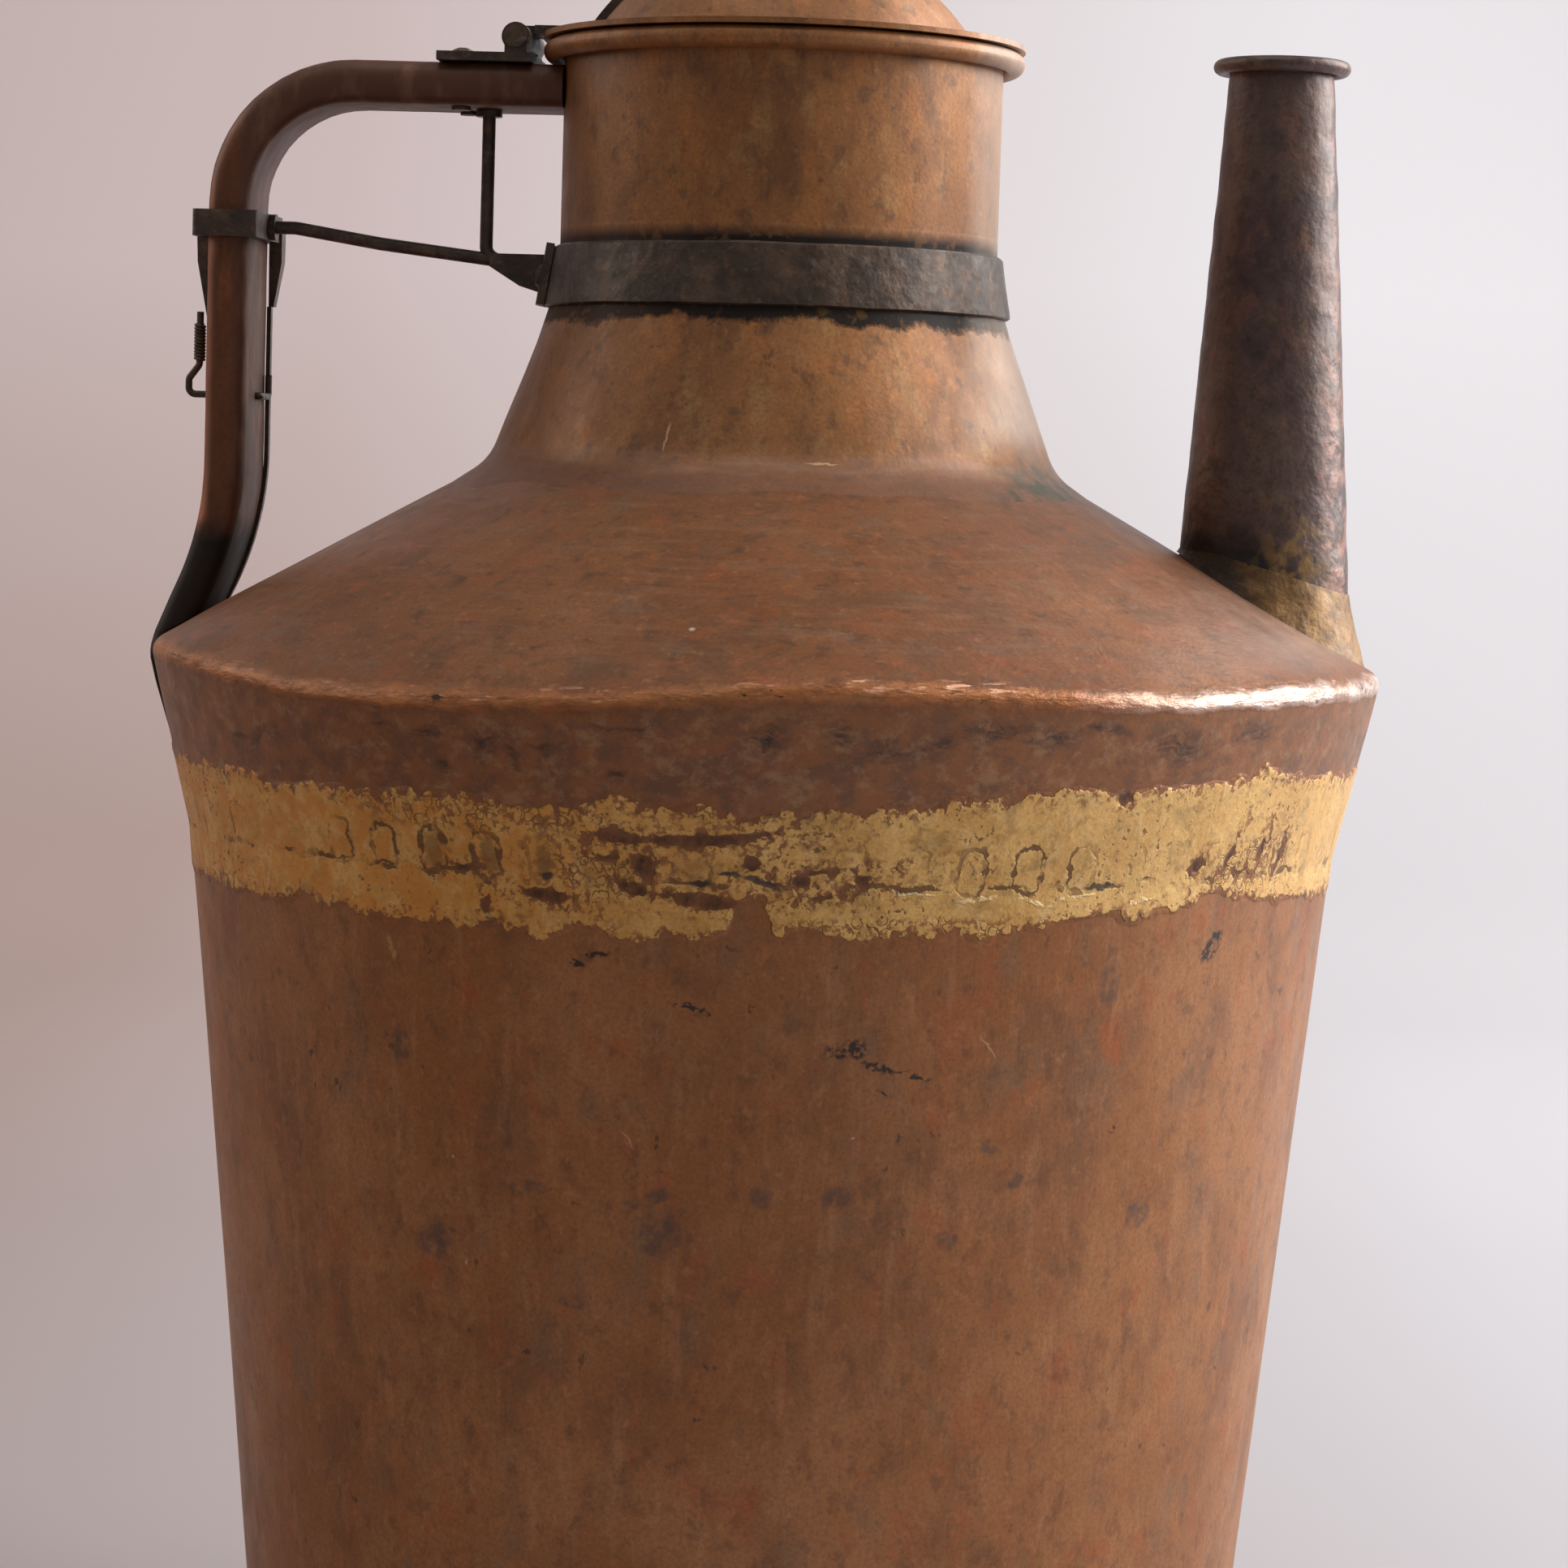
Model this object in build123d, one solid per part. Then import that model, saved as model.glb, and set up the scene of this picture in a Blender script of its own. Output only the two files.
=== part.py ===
from build123d import *
import os
from math import atan, cos, degrees, radians, sin, sqrt, tan

# Copper pitcher, in millimetres. The origin is the centre of the base, +Z is up,
# the handle is on the -X side and the spout on the +X side.

# Lower body
sheet = 1.6
base_radius = 110.0
base_edge_height = 12.0
base_bend = 3.0
seam_height = 226.0
seam_radius = 131.0

# Shoulder
skirt_height = 40.8
rim_corner_radius = 140.8
rim_round = 5.0
shoulder_slope = 29.0

# Cramped seam between the body and the shoulder, with its brazing metal
tongue_count = 66
tongue_width = 6.2
tongue_height = 8.6
tongue_corner = 2.0
scarf = 0.5
brazing = 0.3
brazing_below = 11.0
brazing_above = 16.0
joint_gap = 0.05

# Neck and mouth
neck_sheet = 1.4
neck_base_radius = 64.4
neck_lap = 6.0
neck_bend = 7.0
neck_foot_bend = 14.0
neck_cone_height = 35.65
neck_waist_radius = 52.2
mouth_radius = 50.0
mouth_tube_height = 46.2
mouth_bead = 2.4

# Iron hoop round the neck, with the arm that it carries
hoop_width = 14.0
hoop_thickness = 1.3
arm_foot_width = 22.0
arm_foot_thickness = 1.8
arm_rod_radius = 1.5
arm_rise = 6.0
arm_pad_radius = 3.0
branch_reach = 66.0

# Handle
handle_reach = 125.3
handle_width = 28.0
handle_thickness = 10.0
handle_top_bend = 28.0
handle_foot_reach = 137.5
handle_foot_height = 3.0
handle_foot_slant = 24.0
handle_foot_bend = 70.0
handle_outer_round = 4.4
handle_inner_round = 1.5
seam_strip_thickness = 1.0
seam_strip_width = 2.0
tail_width = 24.0
tail_tip_width = 9.0
tail_thickness = 2.0
tail_length = 33.0
tail_taper_from = 10.0

# Iron clasp round the handle, with a tail on its outer side and a lobe at its far edge
clasp_below_bend = 2.0
clasp_height = 6.0
clasp_thickness = 2.4
clasp_tail_length = 18.2
clasp_tail_width = 12.0
clasp_tail_tip = 5.0
clasp_tail_thickness = 3.2
clasp_lobe_length = 14.8
clasp_lobe_width = 4.6
clasp_lobe_thickness = 3.0

# Iron wire that hangs from the clasp's tail and is clenched through the handle
wire_radius = 0.8
wire_stem_out = 3.4
wire_loop_out = 5.8
wire_loop_height = 7.6
wire_bend = 1.6
wire_clench_bend = 0.9
wire_leg_end = 5.0
coil_radius = 1.4
coil_length = 9.0

# Spout, with the brass sleeve that fills the corner of its foot
spout_reach = 113.0
spout_sheet = 1.4
spout_foot_radius = 21.1
spout_top_radius = 11.8
spout_bead = 1.7
spout_hole_radius = 17.0
sleeve_slope = 22.0
sleeve_flare = 3.2
sleeve_edge = 0.8

# Lid
lid_sheet = 1.2
lid_seat_gap = 0.3
lid_radius = 54.9
dome_radius = 43.5
dome_height = 24.0
lid_flange_radius = 46.0
lid_flange_depth = 10.0
stem_radius = 2.9
finial_height = 34.0
finial_base_radius = 8.0
finial_neck_radius = 3.6
finial_ball_radius = 8.6
washer_radius = 7.0
washer_thickness = 1.2

# Hinge
hinge_reach = 60.0
knuckle_radius = 3.2
pin_radius = 1.6
pin_gap = 0.05
pin_head_radius = 2.6
pin_head_length = 1.2
hinge_width = 28.0
moving_knuckle_width = 12.0
knuckle_side_gap = 0.3
leaf_thickness = 1.8
leaf_width = 16.0
leaf_reach = 22.0
plate_thickness = 2.0
plate_length = 21.6
knuckle_floor_gap = 0.4
knuckle_web = 5.0

# Rivets
rivet_radius = 1.5
rivet_head_radius = 2.8
rivet_head_height = 1.3

# Sizes that follow from those above
slope = radians(shoulder_slope)
rim_height = seam_height + skirt_height
body_lean = (seam_radius - base_radius) / seam_height
skirt_lean = (rim_corner_radius - seam_radius) / (rim_height - seam_height)
neck_base_height = rim_height + (rim_corner_radius - neck_base_radius) * tan(slope)
collar_height = neck_base_height + neck_cone_height
collar_top = collar_height + hoop_width
mouth_height = collar_top + mouth_tube_height
spout_top_height = mouth_height
brim_height = mouth_height + lid_seat_gap
brim_top = brim_height + lid_sheet
dome_curve = (dome_radius**2 + dome_height**2) / (2 * dome_height)
dome_centre = brim_top + dome_height - dome_curve
hinge_height = brim_top + joint_gap + leaf_thickness - knuckle_radius
plate_top = hinge_height - knuckle_radius - knuckle_floor_gap
handle_run_height = plate_top - plate_thickness - joint_gap - handle_thickness / 2
handle_bend_start = handle_run_height - handle_top_bend
handle_inner_face = handle_reach - handle_thickness / 2
handle_outer_face = handle_reach + handle_thickness / 2
clasp_top = handle_bend_start - clasp_below_bend
clasp_bottom = clasp_top - clasp_height
clasp_inner_face = handle_inner_face - joint_gap - clasp_thickness
coil_top = clasp_bottom - clasp_tail_length - 1
wire_height = coil_top - coil_length - wire_loop_height
strip_edge = handle_width / 2 - handle_inner_round - seam_strip_width
tail_bottom = rim_height - tail_length
foot_top = rim_height + handle_foot_height + handle_foot_slant


def parallel(points, distance):
    """The same bent line, moved sideways to the right of its direction."""
    ways = [(Vector(*b) - Vector(*a)).normalized() for a, b in zip(points, points[1:])]
    sides = [Vector(way.Y, -way.X) for way in ways]
    moved = [Vector(*points[0]) + sides[0] * distance]
    for point, one, other in zip(points[1:], sides, sides[1:]):
        middle = (one + other).normalized()
        moved.append(Vector(*point) + middle * (distance / middle.dot(one)))
    moved.append(Vector(*points[-1]) + sides[-1] * distance)
    return [(point.X, point.Y) for point in moved]


def bent_line(points, rounding):
    """A line through the points, with its corners rounded."""
    if len(points) == 2:
        return Line(*points)
    return FilletPolyline(*points, radius=rounding)


def sheet_face(points, rounding, thickness):
    """The section of a sheet that lies to the left of its outer line."""
    return make_face(offset(bent_line(points, rounding), thickness, side=Side.LEFT))


def turned(face):
    """A section given as (radius, height), turned round the pitcher's axis."""
    return revolve(Plane.XZ * face, Axis.Z)


def upright(face, width):
    """A section given as (x, z), as thick as width on both sides of the middle plane."""
    return extrude(Plane.XZ * face, width / 2, both=True)


def shoulder_line():
    """Outer line of the shoulder: up the skirt, round the rim and up the cone."""
    return [
        (seam_radius, seam_height),
        (rim_corner_radius, rim_height),
        (neck_base_radius, neck_base_height),
    ]


def shoulder_body(clearance):
    """All that lies within the shoulder's outer surface and a clearance on it."""
    points = parallel(shoulder_line(), clearance)
    line = FilletPolyline(*points, radius=rim_round + clearance)
    closing = Polyline(points[-1], (0, points[-1][1]), (0, points[0][1]), points[0])
    return turned(make_face(line.edges() + closing.edges()))


def skirt_ring(low, high, inner, outer):
    """A ring between two heights, between two distances out from the skirt's surface."""
    across = sqrt(1 + skirt_lean**2)
    corners = [
        (seam_radius + (height - seam_height) * skirt_lean + out * across, height)
        for height, out in ((low, inner), (low, outer), (high, outer), (high, inner))
    ]
    return turned(Polygon(*corners, align=None))


def tongue_cutters(clearance, turn):
    """One prism for each tongue of the seam, all round, pointing outwards."""
    half = tongue_width / 2 + clearance
    low = seam_height - 1
    high = seam_height + tongue_height + clearance
    outline = Polygon(
        (-half, low),
        (half, low),
        (half, high - tongue_corner),
        (half - tongue_corner, high),
        (tongue_corner - half, high),
        (-half, high - tongue_corner),
        align=None,
    )
    reach = rim_corner_radius * 1.1
    prism = extrude(Plane.YZ * outline, reach) - Cylinder(seam_radius * 0.8, 4 * high)
    step = 360 / tongue_count
    return Part() + [Rot(0, 0, (i + turn) * step) * prism for i in range(tongue_count)]


def rivet(grip):
    """A rivet along Z. Its head's flat side is at zero, and it grips downwards."""
    foot_radius = rivet_head_radius * 0.8
    foot_height = rivet_head_height / 2
    outline = [
        (0, -grip - foot_height),
        (foot_radius, -grip - foot_height),
        (foot_radius, -grip),
        (rivet_radius, -grip),
        (rivet_radius, 0),
        (rivet_head_radius, 0),
        (rivet_head_radius * 0.8, rivet_head_height * 0.6),
        (rivet_head_radius * 0.4, rivet_head_height),
        (0, rivet_head_height),
    ]
    return turned(Polygon(*outline, align=None))


def rivet_hole(grip):
    """The hole that takes a rivet's shank."""
    return Cylinder(rivet_radius + joint_gap, 3 * grip)


def tail_rivet_places():
    """Where the two rivets go through the handle's tail, pointing out of the skirt."""
    standing = joint_gap + brazing + tail_thickness
    tilt = 90 + degrees(atan(skirt_lean))
    for height in (tail_bottom + tail_tip_width * 0.8, rim_height - tail_taper_from):
        radius = seam_radius + (height - seam_height) * skirt_lean
        yield Pos(-radius, 0, height) * Rot(0, -tilt, 0) * Pos(0, 0, standing)


def tail_grip():
    """Thickness of what a tail rivet holds together."""
    return tail_thickness + brazing + sheet + 3 * joint_gap


def arm_rivet_places():
    """Where the two rivets go through the arm's foot, the hoop and the neck."""
    middle = collar_height + hoop_width / 2
    out = (neck_waist_radius + mouth_radius) / 2 + hoop_thickness + arm_foot_thickness + 3 * joint_gap
    lean = degrees(atan((neck_waist_radius - mouth_radius) / hoop_width))
    for turn in (-1, 1):
        angle = turn * degrees((arm_foot_width / 2 - rivet_head_radius - 1) / out)
        yield Rot(0, 0, angle) * Pos(-out, 0, middle) * Rot(0, -90 + lean, 0)


def arm_grip():
    """Thickness of what an arm rivet holds together."""
    return arm_foot_thickness + hoop_thickness + neck_sheet + 3 * joint_gap


def bracket_rivet_places():
    """Where the two rivets hold the hinge plate down on the handle."""
    along = hinge_reach + plate_length - 2 * rivet_head_radius - 3
    for side in (-1, 1):
        yield Pos(-along, side * hinge_width / 4, plate_top)


def bracket_grip():
    """Thickness of what a bracket rivet holds together."""
    return plate_thickness + handle_thickness + 2 * joint_gap


def leaf_rivet_places():
    """Where two rivets hold the lid's leaf down on the dome."""
    out = dome_curve + leaf_thickness + joint_gap
    for angle in (31, 44):
        yield Pos(0, 0, dome_centre) * Rot(0, -angle, 0) * Pos(0, 0, out)


def leaf_grip():
    """Thickness of what a leaf rivet holds together."""
    return leaf_thickness + lid_sheet + 2 * joint_gap


def base_pan():
    """Flat bottom with its edge turned up inside the body."""
    inside = base_radius - sheet * sqrt(1 + body_lean**2) - joint_gap
    points = [(0, 0), (inside, 0), (inside + body_lean * base_edge_height, base_edge_height)]
    return turned(sheet_face(points, base_bend, sheet))


def body_drum():
    """Tapered lower body, with tongues that fork over the shoulder's edge."""
    across = sheet * sqrt(1 + body_lean**2)
    section = Polygon(
        (base_radius, 0),
        (seam_radius, seam_height),
        (seam_radius - across, seam_height),
        (base_radius - across, 0),
        align=None,
    )
    top = seam_height + tongue_height + 1
    outer = skirt_ring(seam_height, top, joint_gap - scarf, brazing) & tongue_cutters(0, 0)
    inner = skirt_ring(seam_height, top, -sheet - brazing, scarf - joint_gap - sheet)
    return turned(section) + outer + (inner & tongue_cutters(0, 0.5))


def shoulder():
    """Skirt, rim and cone in one sheet, thinned where the tongues hold it."""
    points = shoulder_line()
    hoop = turned(sheet_face(points, rim_round, sheet))
    top = seam_height + tongue_height + joint_gap
    hoop -= skirt_ring(seam_height - sheet, top, -scarf, 2 * sheet)
    hoop -= skirt_ring(seam_height - sheet, top, -2 * sheet, scarf - sheet)
    hoop -= Pos(0, 0, seam_height + joint_gap - sheet) * Cylinder(2 * seam_radius, 2 * sheet)
    hoop -= Pos(spout_reach, 0, rim_height) * Cylinder(spout_hole_radius, 2 * rim_height)
    for place in tail_rivet_places():
        hoop -= place * rivet_hole(tail_grip())
    return hoop


def seam_brazing():
    """Brass run into the seam: it fills the spaces between the outer tongues."""
    line = [
        (seam_radius - brazing_below * body_lean, seam_height - brazing_below),
        (seam_radius, seam_height),
        (seam_radius + brazing_above * skirt_lean, seam_height + brazing_above),
    ]
    band = turned(
        Polygon(*parallel(line, joint_gap), *reversed(parallel(line, brazing)), align=None)
    )
    fill_top = seam_height + tongue_height
    band += skirt_ring(seam_height + joint_gap, fill_top, joint_gap - scarf, brazing)
    band -= tongue_cutters(joint_gap, 0)
    for place in tail_rivet_places():
        band -= place * rivet_hole(tail_grip())
    return band


def neck_line():
    """Outer line of the neck, from its lap on the shoulder up to the mouth."""
    on_cone = parallel(shoulder_line(), neck_sheet + joint_gap)
    high = on_cone[2][1] - (neck_base_radius - on_cone[2][0]) * tan(slope)
    return [
        (neck_base_radius + neck_lap, high - neck_lap * tan(slope)),
        (neck_base_radius, high),
        (neck_waist_radius, collar_height),
        (mouth_radius, collar_top),
        (mouth_radius, mouth_height - joint_gap),
    ]


def neck_body(clearance):
    """All that lies within the neck's outer surface and a clearance on it."""
    points = parallel(neck_line()[1:], clearance)
    return turned(Polygon(*points, (0, points[-1][1]), (0, points[0][1]), align=None))


def neck():
    """Cone and mouth tube in one sheet, flared where it is brazed to the shoulder."""
    points = neck_line()
    rounding = [neck_foot_bend, neck_bend, neck_bend]
    tube = turned(sheet_face(points, rounding, neck_sheet))
    for place in arm_rivet_places():
        tube -= place * rivet_hole(arm_grip())
    return tube


def mouth_rim():
    """Rolled bead round the mouth, on which the lid rests."""
    major = mouth_radius + joint_gap + mouth_bead
    return Pos(0, 0, mouth_height - mouth_bead) * Torus(major, mouth_bead)


def hoop_face(inner, thickness):
    """Section of a band that follows the neck where the hoop lies."""
    on_neck = [(neck_waist_radius, collar_height), (mouth_radius, collar_top)]
    return sheet_face(parallel(on_neck, inner + thickness), 0, thickness)


def neck_collar():
    """Iron hoop driven down on the neck."""
    band = turned(hoop_face(joint_gap, hoop_thickness))
    for place in arm_rivet_places():
        band -= place * rivet_hole(arm_grip())
    return band


def collar_arm():
    """Forged arm: a foot on the hoop, a leaf, a rod to the handle and a branch."""
    on_hoop = 2 * joint_gap + hoop_thickness
    foot = turned(hoop_face(on_hoop, arm_foot_thickness))
    foot &= Pos(-mouth_radius, 0, collar_height) * Box(mouth_radius, arm_foot_width, 4 * hoop_width)
    middle = collar_height + hoop_width / 2
    rod_start = neck_waist_radius + hoop_width
    rod_end = clasp_inner_face - joint_gap
    rod_end_height = clasp_bottom + clasp_height / 2
    leaf = Polygon(
        (-mouth_radius, middle - hoop_width * 0.36),
        (-mouth_radius, middle + hoop_width * 0.36),
        (-rod_start, middle + hoop_width * 0.36),
        (-rod_start, middle + hoop_width * 0.36 - 2 * arm_rod_radius),
        (-neck_waist_radius - hoop_width * 0.5, middle - hoop_width * 0.16),
        align=None,
    )
    arm = upright(leaf, hoop_width * 0.5) - neck_body(on_hoop + arm_foot_thickness / 2)
    rod_height = middle + hoop_width * 0.36 - arm_rod_radius
    path = FilletPolyline(
        (-rod_start + arm_rod_radius, 0, rod_height),
        (-(rod_start + rod_end) / 2, 0, rod_height + (rod_end_height - rod_height) * 0.5),
        (-rod_end + arm_rise, 0, rod_end_height),
        (-rod_end, 0, rod_end_height),
        radius=arm_rise,
    )
    arm += sweep(Plane(origin=path @ 0, z_dir=path % 0) * Circle(arm_rod_radius), path)
    pad = Pos(arm_rod_radius / 2 - rod_end, 0, rod_end_height) * Rot(0, 90, 0)
    arm += pad * Cylinder(arm_pad_radius, arm_rod_radius)
    under_handle = handle_run_height - handle_thickness / 2 - joint_gap
    branch = FilletPolyline(
        (-rod_start + arm_rod_radius, 0, rod_height),
        (-branch_reach - arm_rod_radius, 0, rod_height + arm_rod_radius),
        (-branch_reach - arm_rod_radius, 0, under_handle),
        radius=arm_rod_radius * 2,
    )
    arm += sweep(Plane(origin=branch @ 0, z_dir=branch % 0) * Circle(arm_rod_radius), branch)
    arm += Pos(-branch_reach - arm_rod_radius, 0, under_handle - arm_rod_radius / 2) * Cylinder(
        arm_pad_radius, arm_rod_radius
    )
    arm += foot
    for place in arm_rivet_places():
        arm -= place * rivet_hole(arm_grip())
    return arm


def handle_sweep(section):
    """A section swept along the handle's middle line. Its local X points outwards."""
    path = FilletPolyline(
        (-mouth_radius * 0.8, 0, handle_run_height),
        (-handle_reach, 0, handle_run_height),
        (-handle_reach, 0, foot_top),
        (-handle_foot_reach, 0, foot_top - handle_foot_slant),
        (-handle_foot_reach, 0, rim_height),
        radius=[handle_top_bend, handle_foot_bend, handle_thickness],
    )
    start = Plane(origin=path @ 0, x_dir=(0, 0, 1), z_dir=path % 0)
    bar = sweep(start * section, path)
    return bar - neck_body(joint_gap) - shoulder_body(joint_gap)


def handle_section():
    """Flat on the side of the neck, and round on the outer side."""
    section = Rectangle(handle_thickness, handle_width)
    corners = section.vertices().group_by(Axis.X)
    section = fillet(corners[-1], handle_outer_round)
    return fillet(section.vertices().group_by(Axis.X)[0], handle_inner_round)


def handle_tail():
    """Flattened end of the handle, bent over the rim and down the skirt."""
    on_skirt = joint_gap + brazing
    points = parallel(shoulder_line(), on_skirt + tail_thickness)
    strap = turned(sheet_face(points, rim_round + on_skirt + tail_thickness, tail_thickness))
    half = tail_width / 2
    tip = tail_tip_width / 2
    outline = Polygon(
        (-half, foot_top),
        (-half, rim_height - tail_taper_from),
        (-tip, tail_bottom + tip),
        (-tip / 2, tail_bottom),
        (tip / 2, tail_bottom),
        (tip, tail_bottom + tip),
        (half, rim_height - tail_taper_from),
        (half, foot_top),
        align=None,
    )
    prism = extrude(Plane.YZ * outline, -2 * rim_corner_radius)
    under_foot = handle_foot_reach - handle_thickness / 2
    return (strap & prism) - Pos(-under_foot / 2, 0, foot_top) * Box(under_foot, 4 * half, 2 * foot_top)


def wire_hole():
    """The hole that the wire goes through the handle by."""
    along = Pos(-handle_reach, 0, wire_height) * Rot(0, 90, 0)
    return along * Cylinder(wire_radius + joint_gap, 2 * handle_thickness)


def handle():
    """Heavy copper handle, round on its outer side, with its riveted tail."""
    bar = handle_sweep(handle_section()) + handle_tail() - wire_hole()
    for place in tail_rivet_places():
        bar -= place * rivet_hole(tail_grip())
    for place in bracket_rivet_places():
        bar -= place * rivet_hole(bracket_grip())
    return bar


def handle_seam():
    """Dark raised strip along the far edge of the handle's inner face, up to the clasp."""
    shift = handle_thickness / 2 + joint_gap + seam_strip_thickness / 2
    aside = strip_edge + seam_strip_width / 2
    strip = handle_sweep(Pos(-shift, aside) * Rectangle(seam_strip_thickness, seam_strip_width))
    under_lobe = clasp_bottom - clasp_lobe_length - joint_gap
    above = Pos(0, 0, under_lobe + handle_reach)
    return strip - above * Box(4 * handle_reach, 4 * handle_width, 2 * handle_reach)


def clasp_window(clearance):
    """Plan of the handle with a clearance round it."""
    deep = handle_thickness + 2 * clearance
    wide = handle_width + 2 * clearance
    return Pos(-handle_reach, 0) * RectangleRounded(deep, wide, handle_inner_round)


def clasp_tongue(thickness, length, width, tip):
    """Tapered end that hangs from the band, its back on the plane x = 0 and its tip at 0."""
    top = length + clasp_height / 2
    side = Polygon(
        (0, 0), (thickness * 0.4, 0), (thickness, length * 0.7), (thickness, top), (0, top), align=None
    )
    front = Polygon(
        (-tip / 2, 0),
        (tip / 2, 0),
        (width / 2, length),
        (width / 2, top),
        (-width / 2, top),
        (-width / 2, length),
        align=None,
    )
    return upright(side, width) & extrude(Plane.YZ * front, thickness)


def handle_clasp():
    """Iron band round the top of the handle, with its outer tail and its inner lobe."""
    ring = clasp_window(joint_gap + clasp_thickness) - clasp_window(joint_gap)
    clasp = extrude(Pos(0, 0, clasp_bottom) * ring, clasp_height)
    tail = clasp_tongue(clasp_tail_thickness, clasp_tail_length, clasp_tail_width, clasp_tail_tip)
    outside = Pos(-handle_outer_face - joint_gap, 0, clasp_bottom - clasp_tail_length)
    clasp += outside * Rot(0, 0, 180) * tail
    lobe = clasp_tongue(
        clasp_lobe_thickness, clasp_lobe_length, clasp_lobe_width, clasp_lobe_width * 0.7
    )
    inside = Pos(joint_gap - handle_inner_face, handle_width / 2, clasp_bottom - clasp_lobe_length)
    return clasp + inside * lobe


def handle_wire():
    """Wire from the clasp's tail: a stem, a loop, and a leg clenched on the inner face."""
    stem = -handle_outer_face - wire_stem_out
    loop = -handle_outer_face - wire_loop_out
    leg = wire_clench_bend + joint_gap - handle_inner_face
    stem_end = coil_top - coil_length - wire_bend / 2
    beside_strip = strip_edge - joint_gap - wire_radius
    path = FilletPolyline(
        (stem, 0, coil_top + 3 * wire_radius),
        (stem, 0, stem_end),
        (loop, 0, stem_end - 2 * wire_bend),
        (loop, 0, wire_height),
        (leg, 0, wire_height),
        (leg, beside_strip, wire_height),
        (leg, beside_strip, wire_height + wire_leg_end),
        radius=[wire_bend, wire_bend, wire_bend, wire_clench_bend, wire_clench_bend],
    )
    return sweep(Plane(origin=path @ 0, z_dir=path % 0) * Circle(wire_radius), path)


def wire_coil():
    """The wire's other end, wound closely round its stem."""
    tube = Cylinder(coil_radius, coil_length) - Cylinder(wire_radius + joint_gap, coil_length)
    return Pos(-handle_outer_face - wire_stem_out, 0, coil_top - coil_length / 2) * tube


def tail_rivets():
    """Two rivets through the handle's tail and the skirt."""
    return Part() + [place * rivet(tail_grip()) for place in tail_rivet_places()]


def arm_rivets():
    """Two rivets through the arm's foot, the hoop and the neck."""
    return Part() + [place * rivet(arm_grip()) for place in arm_rivet_places()]


def bracket_rivets():
    """Two rivets through the hinge plate and the handle."""
    return Part() + [place * rivet(bracket_grip()) for place in bracket_rivet_places()]


def leaf_rivets():
    """Two rivets through the lid's leaf and the dome."""
    return Part() + [place * rivet(leaf_grip()) for place in leaf_rivet_places()]


def spout_body(extra):
    """All that lies within the spout's outer surface and a clearance on it."""
    low = rim_height - sheet
    fall = (spout_foot_radius - spout_top_radius) / (spout_top_height - rim_height)
    points = [
        (0, low),
        (spout_foot_radius + extra + sheet * fall, low),
        (spout_top_radius + extra, spout_top_height),
        (0, spout_top_height),
    ]
    return Pos(spout_reach, 0, 0) * turned(Polygon(*points, align=None))


def spout():
    """Tapered tube, scribed to the shoulder's cone at its foot."""
    return spout_body(0) - spout_body(-spout_sheet) - shoulder_body(joint_gap)


def spout_sleeve():
    """Brass wedge round the spout's foot: a sliver at the back, deep and flared in front."""
    back = spout_reach - spout_foot_radius
    back_height = rim_height + (rim_corner_radius - back) * tan(slope)
    cone = Polygon(
        (0, rim_height),
        (spout_foot_radius + sleeve_flare, rim_height),
        (spout_foot_radius + sleeve_edge, back_height),
        (0, back_height),
        align=None,
    )
    size = 8 * spout_foot_radius
    below = Pos(0, 0, -size / 2) * Box(size, size, size)
    tilted = Pos(back, 0, back_height) * Rot(0, sleeve_slope, 0) * below
    wedge = Pos(spout_reach, 0, 0) * turned(cone) & tilted
    return wedge - spout_body(joint_gap) - shoulder_body(joint_gap)


def spout_lip():
    """Rolled bead round the spout's mouth."""
    fall = (spout_foot_radius - spout_top_radius) / (spout_top_height - rim_height)
    major = spout_top_radius + 2 * spout_bead * fall + joint_gap + spout_bead
    return Pos(spout_reach, 0, spout_top_height - spout_bead) * Torus(major, spout_bead)


def hinge_place():
    """The hinge's axis, with local Z along the pin."""
    return Pos(-hinge_reach, 0, hinge_height) * Rot(90, 0, 0)


def hinge_bore():
    """The hole for the pin, right through the hinge."""
    return hinge_place() * Cylinder(pin_radius + pin_gap, 2 * hinge_width)


def hinge_bracket():
    """Plate riveted to the handle's end, with the two outer knuckles."""
    near = hinge_reach - knuckle_radius - knuckle_floor_gap
    plate = Pos(-near - plate_length / 2, 0, plate_top - plate_thickness / 2) * Box(
        plate_length, hinge_width, plate_thickness
    )
    fixed = hinge_place() * Cylinder(knuckle_radius, hinge_width)
    web_height = hinge_height - plate_top
    fixed += Pos(-hinge_reach, 0, plate_top + web_height / 2) * Box(knuckle_web, hinge_width, web_height)
    room = moving_knuckle_width + 2 * knuckle_side_gap
    above = Pos(-hinge_reach, 0, plate_top + knuckle_radius * 2)
    fixed -= above * Box(4 * knuckle_radius, room, knuckle_radius * 4)
    bracket = plate + fixed - hinge_bore()
    for place in bracket_rivet_places():
        bracket -= place * rivet_hole(bracket_grip())
    return bracket


def hinge_pin():
    """Iron pin through the knuckles, with a peened head at each end."""
    pin = Cylinder(pin_radius, hinge_width + 2 * joint_gap)
    out = hinge_width / 2 + joint_gap + pin_head_length / 2
    for side in (-1, 1):
        pin += Pos(0, 0, side * out) * Cylinder(pin_head_radius, pin_head_length)
    return hinge_place() * pin


def lid_line(lift, reach):
    """Outer line of the lid: in along the brim and up the dome to the middle."""
    curve = dome_curve + lift
    start = sqrt(curve**2 - (brim_top + lift - dome_centre) ** 2)
    middle = start / 2
    return [
        Line((reach, brim_top + lift), (start, brim_top + lift)),
        ThreePointArc(
            (start, brim_top + lift),
            (middle, dome_centre + sqrt(curve**2 - middle**2)),
            (0, dome_centre + curve),
        ),
    ]


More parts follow.
